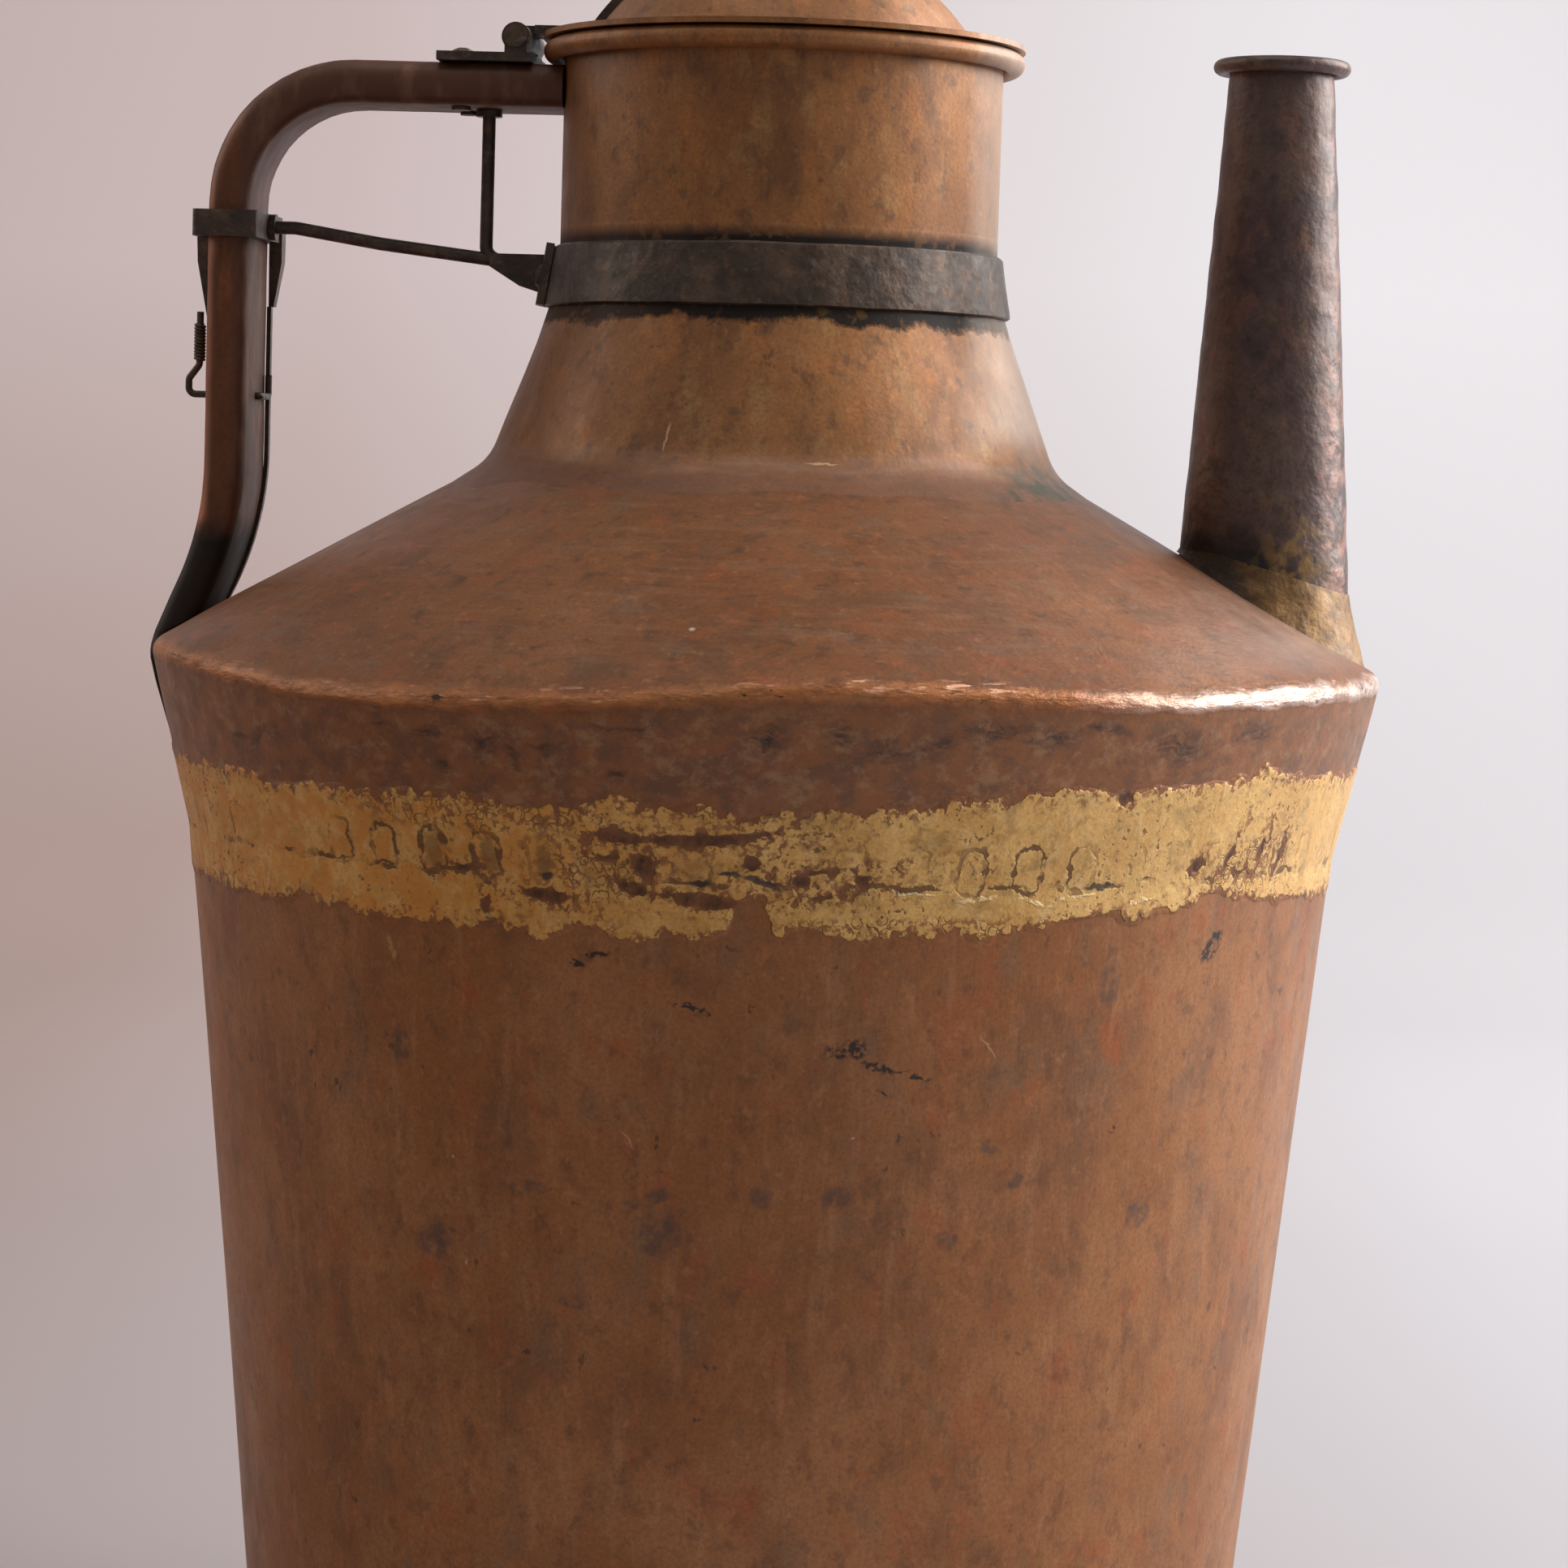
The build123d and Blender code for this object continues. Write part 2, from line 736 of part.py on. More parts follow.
def lid_layer(lift, reach, thickness):
    """A sheet of revolution that follows the lid's upper surface."""
    upper = lid_line(lift + thickness, reach)
    lower = lid_line(lift, reach)
    ends = [
        Line(upper[0] @ 0, lower[0] @ 0),
        Line(upper[1] @ 1, lower[1] @ 1),
    ]
    return turned(make_face(upper + lower + ends))


def lid():
    """Domed copper lid with a flat brim that rests on the mouth's bead."""
    cover = lid_layer(-lid_sheet, lid_radius, lid_sheet)
    cover -= Cylinder(stem_radius + joint_gap, 4 * mouth_height)
    for place in leaf_rivet_places():
        cover -= place * rivet_hole(leaf_grip())
    return cover


def lid_flange():
    """Ring under the lid that keeps it centred in the mouth."""
    ring = Cylinder(lid_flange_radius, lid_flange_depth) - Cylinder(
        lid_flange_radius - lid_sheet, lid_flange_depth
    )
    return Pos(0, 0, brim_height - joint_gap - lid_flange_depth / 2) * ring


def lid_finial():
    """Turned brass knob, whose stem goes through the crown of the lid."""
    crown = brim_top + dome_height
    ball_height = crown + finial_height * 0.55
    stem_end = crown - lid_sheet - washer_thickness - 1
    tip_radius = finial_neck_radius / 2
    foot = Polyline(
        (0, stem_end),
        (stem_radius, stem_end),
        (stem_radius, crown + 2 * joint_gap - stem_radius**2 / (2 * dome_curve)),
        (finial_base_radius, crown + 2 * joint_gap - finial_base_radius**2 / (2 * dome_curve)),
        (finial_base_radius, crown + finial_base_radius * 0.25),
        (finial_neck_radius, crown + finial_base_radius * 0.75),
        (finial_neck_radius, ball_height - sqrt(finial_ball_radius**2 - finial_neck_radius**2)),
    )
    ball_end = (tip_radius, ball_height + sqrt(finial_ball_radius**2 - tip_radius**2))
    ball = ThreePointArc(foot @ 1, (finial_ball_radius, ball_height), ball_end)
    tip = Polyline(ball_end, (tip_radius, crown + finial_height), (0, crown + finial_height), (0, stem_end))
    return turned(make_face(foot.edges() + ball.edges() + tip.edges()))


def finial_washer():
    """Washer on the stem, under the crown of the lid."""
    inner_curve = dome_curve - lid_sheet
    top = dome_centre + sqrt(inner_curve**2 - washer_radius**2) - joint_gap
    ring = Cylinder(washer_radius, washer_thickness)
    ring -= Cylinder(stem_radius + joint_gap, washer_thickness)
    return Pos(0, 0, top - washer_thickness / 2) * ring


def lid_leaf():
    """Iron strap riveted on the dome, with the middle knuckle of the hinge."""
    strap = lid_layer(joint_gap, hinge_reach, leaf_thickness)
    clear_of_knuckles = hinge_reach - knuckle_radius - knuckle_side_gap
    outline = Polygon(
        (-leaf_reach, leaf_width / 4),
        (-leaf_reach - leaf_width / 4, leaf_width / 2),
        (-clear_of_knuckles, leaf_width / 2),
        (-clear_of_knuckles, moving_knuckle_width / 2),
        (-hinge_reach, moving_knuckle_width / 2),
        (-hinge_reach, -moving_knuckle_width / 2),
        (-clear_of_knuckles, -moving_knuckle_width / 2),
        (-clear_of_knuckles, -leaf_width / 2),
        (-leaf_reach - leaf_width / 4, -leaf_width / 2),
        (-leaf_reach, -leaf_width / 4),
        align=None,
    )
    strap &= extrude(outline, 2 * mouth_height)
    leaf = strap + hinge_place() * Cylinder(knuckle_radius, moving_knuckle_width) - hinge_bore()
    for place in leaf_rivet_places():
        leaf -= place * rivet_hole(leaf_grip())
    return leaf


pieces = {
    "base_pan": base_pan,
    "body_drum": body_drum,
    "shoulder": shoulder,
    "seam_brazing": seam_brazing,
    "neck": neck,
    "mouth_rim": mouth_rim,
    "neck_collar": neck_collar,
    "collar_arm": collar_arm,
    "arm_rivets": arm_rivets,
    "handle": handle,
    "handle_seam": handle_seam,
    "handle_clasp": handle_clasp,
    "handle_wire": handle_wire,
    "wire_coil": wire_coil,
    "tail_rivets": tail_rivets,
    "spout": spout,
    "spout_sleeve": spout_sleeve,
    "spout_lip": spout_lip,
    "hinge_bracket": hinge_bracket,
    "bracket_rivets": bracket_rivets,
    "hinge_pin": hinge_pin,
    "lid": lid,
    "lid_flange": lid_flange,
    "lid_finial": lid_finial,
    "finial_washer": finial_washer,
    "lid_leaf": lid_leaf,
    "leaf_rivets": leaf_rivets,
}

os.makedirs("parts", exist_ok=True)
for name, make in pieces.items():
    export_step(make(), f"parts/{name}.step")
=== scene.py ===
import math

import bpy
import numpy as np
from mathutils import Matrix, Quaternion, Vector, noise


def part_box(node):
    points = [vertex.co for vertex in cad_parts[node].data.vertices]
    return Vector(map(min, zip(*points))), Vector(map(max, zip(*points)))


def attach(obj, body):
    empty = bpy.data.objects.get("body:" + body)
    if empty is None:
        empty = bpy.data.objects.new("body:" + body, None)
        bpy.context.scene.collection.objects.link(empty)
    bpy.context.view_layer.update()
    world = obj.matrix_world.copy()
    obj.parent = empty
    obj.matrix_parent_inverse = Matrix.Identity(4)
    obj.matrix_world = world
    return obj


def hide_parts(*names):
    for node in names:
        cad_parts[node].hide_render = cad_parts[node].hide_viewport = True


# An old hand-made copper pitcher, in metres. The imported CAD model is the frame: +Z is up,
# the handle is on the -X side and the spout on the +X side. The sections that follow take
# the pieces in the order in which the pitcher was put together.
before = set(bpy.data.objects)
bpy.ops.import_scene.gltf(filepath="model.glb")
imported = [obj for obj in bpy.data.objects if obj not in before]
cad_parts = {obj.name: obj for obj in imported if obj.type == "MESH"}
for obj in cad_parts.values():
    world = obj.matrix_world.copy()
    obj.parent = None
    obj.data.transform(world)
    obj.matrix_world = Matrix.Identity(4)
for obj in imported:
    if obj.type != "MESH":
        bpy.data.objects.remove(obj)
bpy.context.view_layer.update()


# Lower body
# One sheet of copper, rolled to a taper and planished smooth, with a brown patina that is
# mottled red, olive and grey. The shell is turned from an outline and then dented a little.
seam_height = 0.226
seam_radius = 0.131
base_radius = 0.110
sheet = 0.0016


def spaced(points, step):
    """Points about a step apart along a bent line."""
    points = np.array(points, float)
    along = np.concatenate([[0], np.cumsum(np.linalg.norm(np.diff(points, axis=0), axis=1))])
    wanted = np.linspace(0, along[-1], max(2, round(along[-1] / step) + 1))
    return np.stack([np.interp(wanted, along, column) for column in points.T], axis=1)


def walled(outer, thickness, step):
    """Closed outline of a sheet: up its outer line, and back down inside it."""
    way = np.gradient(outer, axis=0)
    side = np.stack([way[:, 1], -way[:, 0]], axis=1)
    inner = outer - thickness * side / np.linalg.norm(side, axis=1)[:, None]
    return np.concatenate([outer, spaced(inner[::-1], step)])


def lumps(points, size, seed=0):
    """Smooth noise from about -1 to 1 at each point, in lumps of about that size."""
    shift = Vector((7.3, 3.1, 5.7)) * seed
    flat = points.reshape(-1, 3) / size
    values = [noise.noise(Vector(point) + shift) for point in flat.tolist()]
    return np.array(values).reshape(points.shape[:-1])


def turned_points(outline, around):
    """Places on a closed outline of (radius, height), turned round the pitcher's axis."""
    turn = np.linspace(0, 2 * math.pi, around, endpoint=False)[:, None]
    radius, height = outline[:, 0][None, :], outline[:, 1][None, :]
    flat = np.broadcast_to(height, (around, len(outline)))
    return np.stack([radius * np.cos(turn), radius * np.sin(turn), flat], axis=-1)


def loft(points, round_about=True, ends=False):
    """A mesh through rows of points. Each row is a closed loop."""
    rows, columns = points.shape[:2]
    row = np.arange(rows if round_about else rows - 1)[:, None]
    column = np.arange(columns)[None, :]
    next_row, next_column = (row + 1) % rows, (column + 1) % columns
    corners = [
        row * columns + column,
        next_row * columns + column,
        next_row * columns + next_column,
        row * columns + next_column,
    ]
    faces = np.stack(corners, axis=-1).reshape(-1, 4).tolist()
    if ends:
        faces.append(list(range(columns)))
        faces.append(list(range(rows * columns - 1, (rows - 1) * columns - 1, -1)))
    mesh = bpy.data.meshes.new("skin")
    mesh.from_pydata(points.reshape(-1, 3).tolist(), [], faces)
    return mesh


def pressed(points, depth, x=0.0):
    """The points moved by these depths towards an upright axis, which stands at x."""
    out = (points - (x, 0, 0)) * (1, 1, 0)
    out /= np.linalg.norm(out, axis=-1)[..., None]
    return points - out * depth[..., None]


def fit(name, mesh, material, slot, *nodes, crease=35):
    """The mesh as a finished piece that stands for these CAD nodes."""
    mesh.name = name
    piece = bpy.data.objects.new(name, mesh)
    bpy.context.scene.collection.objects.link(piece)
    mesh.materials.clear()
    mesh.materials.append(material)
    mesh.shade_smooth()
    mesh.set_sharp_from_angle(angle=math.radians(crease))
    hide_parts(*nodes)
    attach(piece, "vessel")


class Value:
    """A number, colour or shape inside a node tree. Arithmetic on it adds a node."""

    def __init__(self, socket):
        self.socket = socket
        self.tree = socket.id_data

    def step(self, operation, other=0.0, last=False):
        inputs = {0: other, 1: self} if last else {0: self, 1: other}
        return add(self.tree, "ShaderNodeMath", inputs, operation=operation)

    def __add__(self, other):
        return self.step("ADD", other)

    def __sub__(self, other):
        return self.step("SUBTRACT", other)

    def __rsub__(self, other):
        return self.step("SUBTRACT", other, True)

    def __mul__(self, other):
        return self.step("MULTIPLY", other)

    def __truediv__(self, other):
        return self.step("DIVIDE", other)

    def __rtruediv__(self, other):
        return self.step("DIVIDE", other, True)

    def __abs__(self):
        return self.step("ABSOLUTE")


def tone(red, green, blue):
    """A colour as it looks on screen, from 0 to 255, turned into linear light."""
    parts = [value / 255 for value in (red, green, blue)]
    return (*((p / 12.92 if p < 0.04 else ((p + 0.055) / 1.055) ** 2.4) for p in parts), 1.0)


def add(tree, kind, inputs, out=0, **settings):
    """One output of a new node, which gets these settings and inputs."""
    made = tree.nodes.new(kind)
    for name, setting in settings.items():
        setattr(made, name, setting)
    for name, given in inputs.items():
        if isinstance(given, Value):
            tree.links.new(given.socket, made.inputs[name])
        else:
            made.inputs[name].default_value = given
    return Value(made.outputs[out])


def parts(place):
    """The x, y and z of a place."""
    split = add(place.tree, "ShaderNodeSeparateXYZ", {0: place})
    return [Value(socket) for socket in split.socket.node.outputs]


def off(place, spot=(0, 0, 0)):
    """How far a place is from a spot."""
    ends = {0: place, 1: spot}
    return add(place.tree, "ShaderNodeVectorMath", ends, "Value", operation="DISTANCE")


def stored(place, name):
    """A number that the mesh holds for each of its points."""
    return add(place.tree, "ShaderNodeAttribute", {}, "Fac", attribute_name=name)


def most(one, other):
    """The larger of two values."""
    return one.step("MAXIMUM", other)


def span(value, low, high, start=0.0, end=1.0):
    """A value taken from the range low to high to the range start to end, and held there."""
    inputs = {"Value": value, "From Min": low, "From Max": high, "To Min": start, "To Max": end}
    return add(value.tree, "ShaderNodeMapRange", inputs)


def cloud(place, size, seed, detail, stretch=(1, 1, 1), rough=0.5):
    """Soft noise from 0 to 1 in clouds of about that many millimetres. Stretch draws them out."""
    scale = [1000 / (size * part) for part in stretch]
    move = {"Vector": place, "Location": (seed * 1.7, seed * 2.3, seed), "Scale": scale}
    moved = add(place.tree, "ShaderNodeMapping", move)
    inputs = {"Vector": moved, "Scale": 1.0, "Detail": detail, "Roughness": rough}
    return add(place.tree, "ShaderNodeTexNoise", inputs, "Fac")


def sheen(place, size, seed, low, high, detail=5):
    """Roughness that goes to and fro between two values, in clouds of that size."""
    return span(cloud(place, size, seed, detail), 0.3, 0.7, low, high)


def over(under, paint, share):
    """A colour laid over another, by a share from 0 to 1."""
    tree = (share if isinstance(share, Value) else under).tree
    under, paint = (c if isinstance(c, Value) else tone(*c) for c in (under, paint))
    return add(tree, "ShaderNodeMix", {0: share, 6: under, 7: paint}, 2, data_type="RGBA")


def painted(ground, layers):
    """A ground with colours laid over it in turn, each by its own share."""
    for paint, share in layers:
        ground = over(ground, paint, share)
    return ground


metal_share = 0.36
skin_share = 0.14
skin_rough = 0.34


def metal(name, tint):
    """A metal finish under a thin dull skin of oxide, with tint(place) to give its colour,
    roughness and relief."""
    material = bpy.data.materials.new(name)
    material.use_nodes = True
    tree = material.node_tree
    shader = tree.nodes["Principled BSDF"].inputs
    shader["Metallic"].default_value = metal_share
    shader["Coat Weight"].default_value = skin_share
    shader["Coat Roughness"].default_value = skin_rough
    colour, rough, relief = tint(add(tree, "ShaderNodeTexCoord", {}, "Object"))
    bump = add(tree, "ShaderNodeBump", {"Height": relief, "Distance": 0.001, "Strength": 1.0})
    for entry, value in (("Base Color", colour), ("Roughness", rough), ("Normal", bump)):
        tree.links.new(value.socket, shader[entry])
    return material


def coated(place, ground, coats, seed):
    """A ground with coats laid over it in ragged clouds. Each coat has its colour, the size of
    its clouds, the noise where it starts and is full, its strength and its upright stretch."""
    for step, (paint, size, low, high, strength, stretch) in enumerate(coats):
        ragged = cloud(place, size, seed + 3 * step, 6, (1, 1, stretch), 0.62)
        ground = over(ground, paint, span(ragged, low, high, 0, strength))
    return ground


def specks(place, size, low, seed, stretch=(1, 1, 1)):
    """Small scattered spots, from 0 to 1."""
    fine = cloud(place, size, seed, 3, stretch, 0.6)
    where = span(cloud(place, size * 9, seed + 5, 2), 0.45, 0.62)
    return span(fine, low, low + 0.05) * where


def unrolled(place, radius, wobble, seed):
    """The wall laid flat: metres round it, then height. Its points are a little astray, by
    about as many millimetres as wobble says."""
    x, y, z = parts(place)
    reach = 3 * wobble
    flat = {}
    for axis, value in enumerate((y.step("ARCTAN2", x) * radius, z)):
        flat[axis] = value + (cloud(place, reach, seed + axis, 3) - 0.5) * (reach / 1000)
    return add(place.tree, "ShaderNodeCombineXYZ", flat)


def marks(flat, radius, spots, full=0.7):
    """Marks on the wall, from 0 to 1. Each has its place round the pitcher in degrees, its
    height, half its length and half its width in millimetres, and its tilt in degrees.
    Inside its full share a mark is 1."""
    whole = None
    for turn, height, half_length, half_width, tilt in spots:
        inputs = {
            "Vector": flat,
            "Location": (math.radians(turn) * radius, height / 1000, 0),
            "Rotation": (0, 0, math.radians(tilt)),
            "Scale": (half_length / 1000, half_width / 1000, 1),
        }
        spot = add(flat.tree, "ShaderNodeMapping", inputs, vector_type="TEXTURE")
        share = span(off(spot), 1.85 - full, full)
        whole = share if whole is None else most(whole, share)
    return whole


# Colours are written as they look on screen, from 0 to 255, and sizes of clouds, heights and
# sizes of marks in millimetres.
drum_ground = (153, 95, 48)
drum_coats = [
    ((170, 113, 68), 60, 0.42, 0.6, 1, 1),
    ((122, 78, 46), 18, 0.5, 0.64, 0.6, 1.6),
    ((172, 87, 41), 11, 0.56, 0.68, 0.55, 1.4),
    ((126, 100, 76), 12, 0.55, 0.68, 0.5, 1.8),
    ((192, 137, 94), 5, 0.55, 0.7, 0.35, 7),
    ((107, 70, 44), 4.2, 0.54, 0.68, 0.55, 1.3),
    ((192, 129, 83), 2.4, 0.55, 0.7, 0.4, 1.3),
    ((100, 63, 39), 0.8, 0.42, 0.72, 0.5, 1),
]
black_flecks = [
    (-102.5, 209.3, 2.2, 0.7, -14), (-100.5, 211.3, 3, 0.7, 12), (-92.3, 201.6, 3.2, 0.7, -8),
    (-90.5, 200.6, 1.6, 0.6, -20), (-78.6, 193, 2.6, 1.6, -8), (-76.9, 193.8, 2.8, 2.2, 0),
    (-74.6, 189.9, 4, 1, -16), (-71.4, 188.2, 4.2, 0.5, -14), (-74.2, 184.6, 1.6, 0.3, -30),
    (-49.5, 175, 0.9, 1, 0), (-38.5, 211.9, 4.2, 2.4, 38), (-37.8, 213.9, 2.4, 1.6, 20),
    (20, 160, 5, 1.2, 20), (75, 190, 4, 1.6, -15), (120, 135, 3, 2, 30), (160, 180, 6, 0.8, 8),
]
grey_smudges = [
    (-85.1, 162.7, 2.8, 2.6, 0), (-94.7, 154.1, 5, 6, -20), (-95.6, 161.1, 6, 1.8, 20),
    (-103.1, 138.7, 4, 1.6, 0), (-107.8, 161.7, 5, 2, 0), (-121.2, 188.3, 3, 4, 0),
    (-77.3, 163.3, 5, 2.4, 10), (-67, 153.4, 2.6, 2.2, 0), (-60.4, 166, 2.4, 2.2, 0),
    (-63.3, 172.9, 2.6, 1.6, 0), (-44.9, 156.1, 4, 3.4, 30), (-51.6, 205.5, 3, 5, 0),
    (-118, 148, 5, 4, 0), (50, 130, 9, 6, 20), (110, 170, 6, 8, 0),
]
pale_scratches = [
    (-97.6, 173.5, 2.2, 0.2, -62), (-64.1, 193.8, 3.4, 0.2, -50), (-114.3, 144.3, 0.5, 0.6, 0),
    (-115.4, 166.3, 0.3, 0.4, 0), (-76.7, 175.2, 0.4, 0.4, 0), (95, 150, 7, 0.3, 35),
]
brass_drips = [
    (-122, 209.9, 1.8, 0.7, -80), (-121.6, 207.4, 1.2, 0.8, 90), (35, 208.5, 2, 0.8, 90),
    (130, 206, 2.6, 0.8, 85),
]


def drum_tint(place):
    flat = unrolled(place, seam_radius, 0.7, 6)
    broken = span(cloud(place, 1.1, 8, 4), 0.4, 0.52)
    smudged = marks(flat, seam_radius, grey_smudges) * span(cloud(place, 3, 47, 5), 0.36, 0.56)
    layers = [
        ((74, 62, 60), smudged * 0.55),
        ((78, 54, 40), specks(place, 3.6, 0.66, 51, (1, 1, 1.2)) * 0.8),
        ((164, 86, 46), specks(place, 5, 0.64, 61) * 0.6),
        ((30, 25, 26), marks(flat, seam_radius, black_flecks) * broken * 0.9),
        ((206, 164, 124), marks(flat, seam_radius, pale_scratches) * 0.6),
        ((180, 136, 72), marks(flat, seam_radius, brass_drips) * broken * 0.8),
    ]
    colour = painted(coated(place, drum_ground, drum_coats, 1), layers)
    planish = cloud(place, 12, 73, 1) * 0.22
    scratch = cloud(place, 0.9, 74, 3, (1, 1, 3)) * 0.07
    return colour, sheen(place, 8, 71, 0.44, 0.58), planish + scratch


drum_finish = metal("drum_copper", drum_tint)
drum_line = spaced([(base_radius, 0.0002), (seam_radius, seam_height)], 0.003)
drum_points = turned_points(walled(drum_line, sheet, 0.012), 320)
drum_height = drum_points[..., 2]
edge_fade = np.clip((seam_height - drum_height) / 0.02, 0, 1) * np.clip(drum_height / 0.01, 0, 1)
drum_dents = edge_fade * (0.0003 + 0.0003 * lumps(drum_points, 0.05, 3))
drum_points = pressed(drum_points, drum_dents)
fit("drum_skin", loft(drum_points), drum_finish, "copper", "body_drum")


# Bottom
# A pan of the same copper, let into the lower body with its edge turned up inside. It is the
# CAD shape, with a sootier finish.
def pan_tint(place):
    near_black = span(cloud(place, 30, 31, 5), 0.4, 0.6, 0.2, 0.8)
    colour = over(coated(place, drum_ground, drum_coats, 30), (30, 25, 23), near_black)
    return colour, sheen(place, 10, 32, 0.5, 0.7, 4), cloud(place, 6, 33, 3) * 0.3


def dress(nodes, material):
    """Gives the CAD shapes of these nodes a finish."""
    for name in nodes:
        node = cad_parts[name]
        node.data.materials.clear()
        node.data.materials.append(material)


dress(["base_pan"], metal("pan_copper", pan_tint))


# Tongues of the seam
# The top edge of the lower body is snipped into tongues that go by turns outside and inside
# the shoulder's thinned edge. One rounded tongue is repeated round the seam by nodes.
tongue_count = 66
tongue_width = 0.0062
tongue_height = 0.0092
tongue_depth = 0.0006
tongue_turn = -1.8
tongue_round = 0.0024
tongue_foot = 0.0006
tongue_proud = 0.00002
skirt_height = 0.0408
rim_radius = 0.1408
skirt_lean = (rim_radius - seam_radius) / skirt_height


def tongue_ring(tree, given):
    """Nodes that set a ring of rounded tongues, standing on the seam."""
    sides = {"Width": tongue_width, "Height": tongue_height}
    outline = add(tree, "GeometryNodeCurvePrimitiveQuadrilateral", sides)
    corners = {"Curve": outline, "Count": 4, "Radius": tongue_round}
    filleted = add(tree, "GeometryNodeFilletCurve", corners, mode="POLY")
    face = add(tree, "GeometryNodeFillCurve", {"Curve": filleted})
    plate = add(tree, "GeometryNodeExtrudeMesh", {"Mesh": face, "Offset Scale": tongue_depth})
    back = add(tree, "GeometryNodeFlipFaces", {"Mesh": face})
    both = add(tree, "GeometryNodeJoinGeometry", {0: plate})
    tree.links.new(back.socket, both.socket.node.inputs[0])
    whole = add(tree, "GeometryNodeMergeByDistance", {"Geometry": both, "Distance": 0.00001})
    upright = {"Geometry": whole, "Rotation": (math.pi / 2, 0, math.pi / 2)}
    stood = add(tree, "GeometryNodeTransform", upright)
    circle = {"Vertices": given["Count"], "Radius": given["Radius"]}
    ring = add(tree, "GeometryNodeMeshCircle", circle)
    pitch = 2 * math.pi / given["Count"]
    angle = add(tree, "GeometryNodeInputIndex", {}) * pitch + given["Turn"]
    way = add(tree, "ShaderNodeCombineXYZ", {"Y": given["Lean"], "Z": angle})
    reach = add(tree, "ShaderNodeCombineXYZ", {"X": given["Radius"], "Z": given["Lift"]})
    swing = {"Vector": reach, "Angle": angle}
    swung = add(tree, "ShaderNodeVectorRotate", swing, rotation_type="Z_AXIS")
    turned = add(tree, "GeometryNodeSetPosition", {"Geometry": ring, "Position": swung})
    places = {"Points": turned, "Instance": stood, "Rotation": way}
    set_out = add(tree, "GeometryNodeInstanceOnPoints", places)
    return add(tree, "GeometryNodeRealizeInstances", {"Geometry": set_out})


def from_nodes(name, shape, sizes, material):
    """The plain mesh that the nodes of a shape make with these sizes, which they take as
    named inputs."""
    tree = bpy.data.node_groups.new(name, "GeometryNodeTree")
    sockets = tree.interface
    sockets.new_socket("Geometry", in_out="OUTPUT", socket_type="NodeSocketGeometry")
    for size, value in sizes.items():
        kind = "NodeSocketInt" if isinstance(value, int) else "NodeSocketFloat"
        sockets.new_socket(size, in_out="INPUT", socket_type=kind)
    given = tree.nodes.new("NodeGroupInput").outputs
    shaped = shape(tree, {size: Value(given[size]) for size in sizes})
    painted = add(tree, "GeometryNodeSetMaterial", {"Geometry": shaped, "Material": material})
    tree.links.new(painted.socket, tree.nodes.new("NodeGroupOutput").inputs[0])
    host = bpy.data.objects.new(name, bpy.data.meshes.new(name))
    bpy.context.scene.collection.objects.link(host)
    nodes = host.modifiers.new("make", "NODES")
    nodes.node_group = tree
    for socket in sockets.items_tree:
        if socket.in_out == "INPUT":
            nodes[socket.identifier] = sizes[socket.name]
    bpy.context.view_layer.update()
    finished = host.evaluated_get(bpy.context.evaluated_depsgraph_get())
    mesh = bpy.data.meshes.new_from_object(finished)
    bpy.data.objects.remove(host)
    return mesh


tongue_middle = tongue_height / 2 - tongue_foot
tongue_sizes = {
    "Count": tongue_count,
    "Radius": seam_radius + tongue_middle * skirt_lean - tongue_depth + tongue_proud,
    "Lift": seam_height + tongue_middle,
    "Turn": math.radians(tongue_turn),
    "Lean": math.atan(skirt_lean),
}
tongue_mesh = from_nodes("seam_tongues", tongue_ring, tongue_sizes, drum_finish)
fit("seam_tongues", tongue_mesh, drum_finish, "copper", "body_drum")


# Shoulder
# Skirt, rim and cone, raised from one sheet of copper. The rim is a hammered ridge with bright
# nicks along it, and dark smears hang under it on the skirt.
rim_height = seam_height + skirt_height
slope = math.radians(29)
neck_foot_radius = 0.0644
skirt_brown = (148, 95, 58)
skirt_share = 0.6


def rounded(points, radii, steps=6):
    """The points of a bent line, with its corners rounded to these radii."""
    line = [points[0]]
    for before, corner, after, radius in zip(points, points[1:], points[2:], radii):
        before, corner, after = (np.array(point) for point in (before, corner, after))
        back = (before - corner) / np.linalg.norm(before - corner)
        on = (after - corner) / np.linalg.norm(after - corner)
        half = math.acos(float(back @ on)) / 2
        centre = corner + (back + on) / np.linalg.norm(back + on) * radius / math.sin(half)
        first, last = (corner + side * radius / math.tan(half) - centre for side in (back, on))
        start = math.atan2(first[1], first[0])
        turn = (math.atan2(last[1], last[0]) - start + math.pi) % (2 * math.pi) - math.pi
        for step in range(steps + 1):
            angle = start + turn * step / steps
            line.append(centre + radius * np.array([math.cos(angle), math.sin(angle)]))
    line.append(points[-1])
    return line


def cone_height(radius):
    """Height of the shoulder's cone at a radius."""
    return rim_height + (rim_radius - radius) * math.tan(slope)


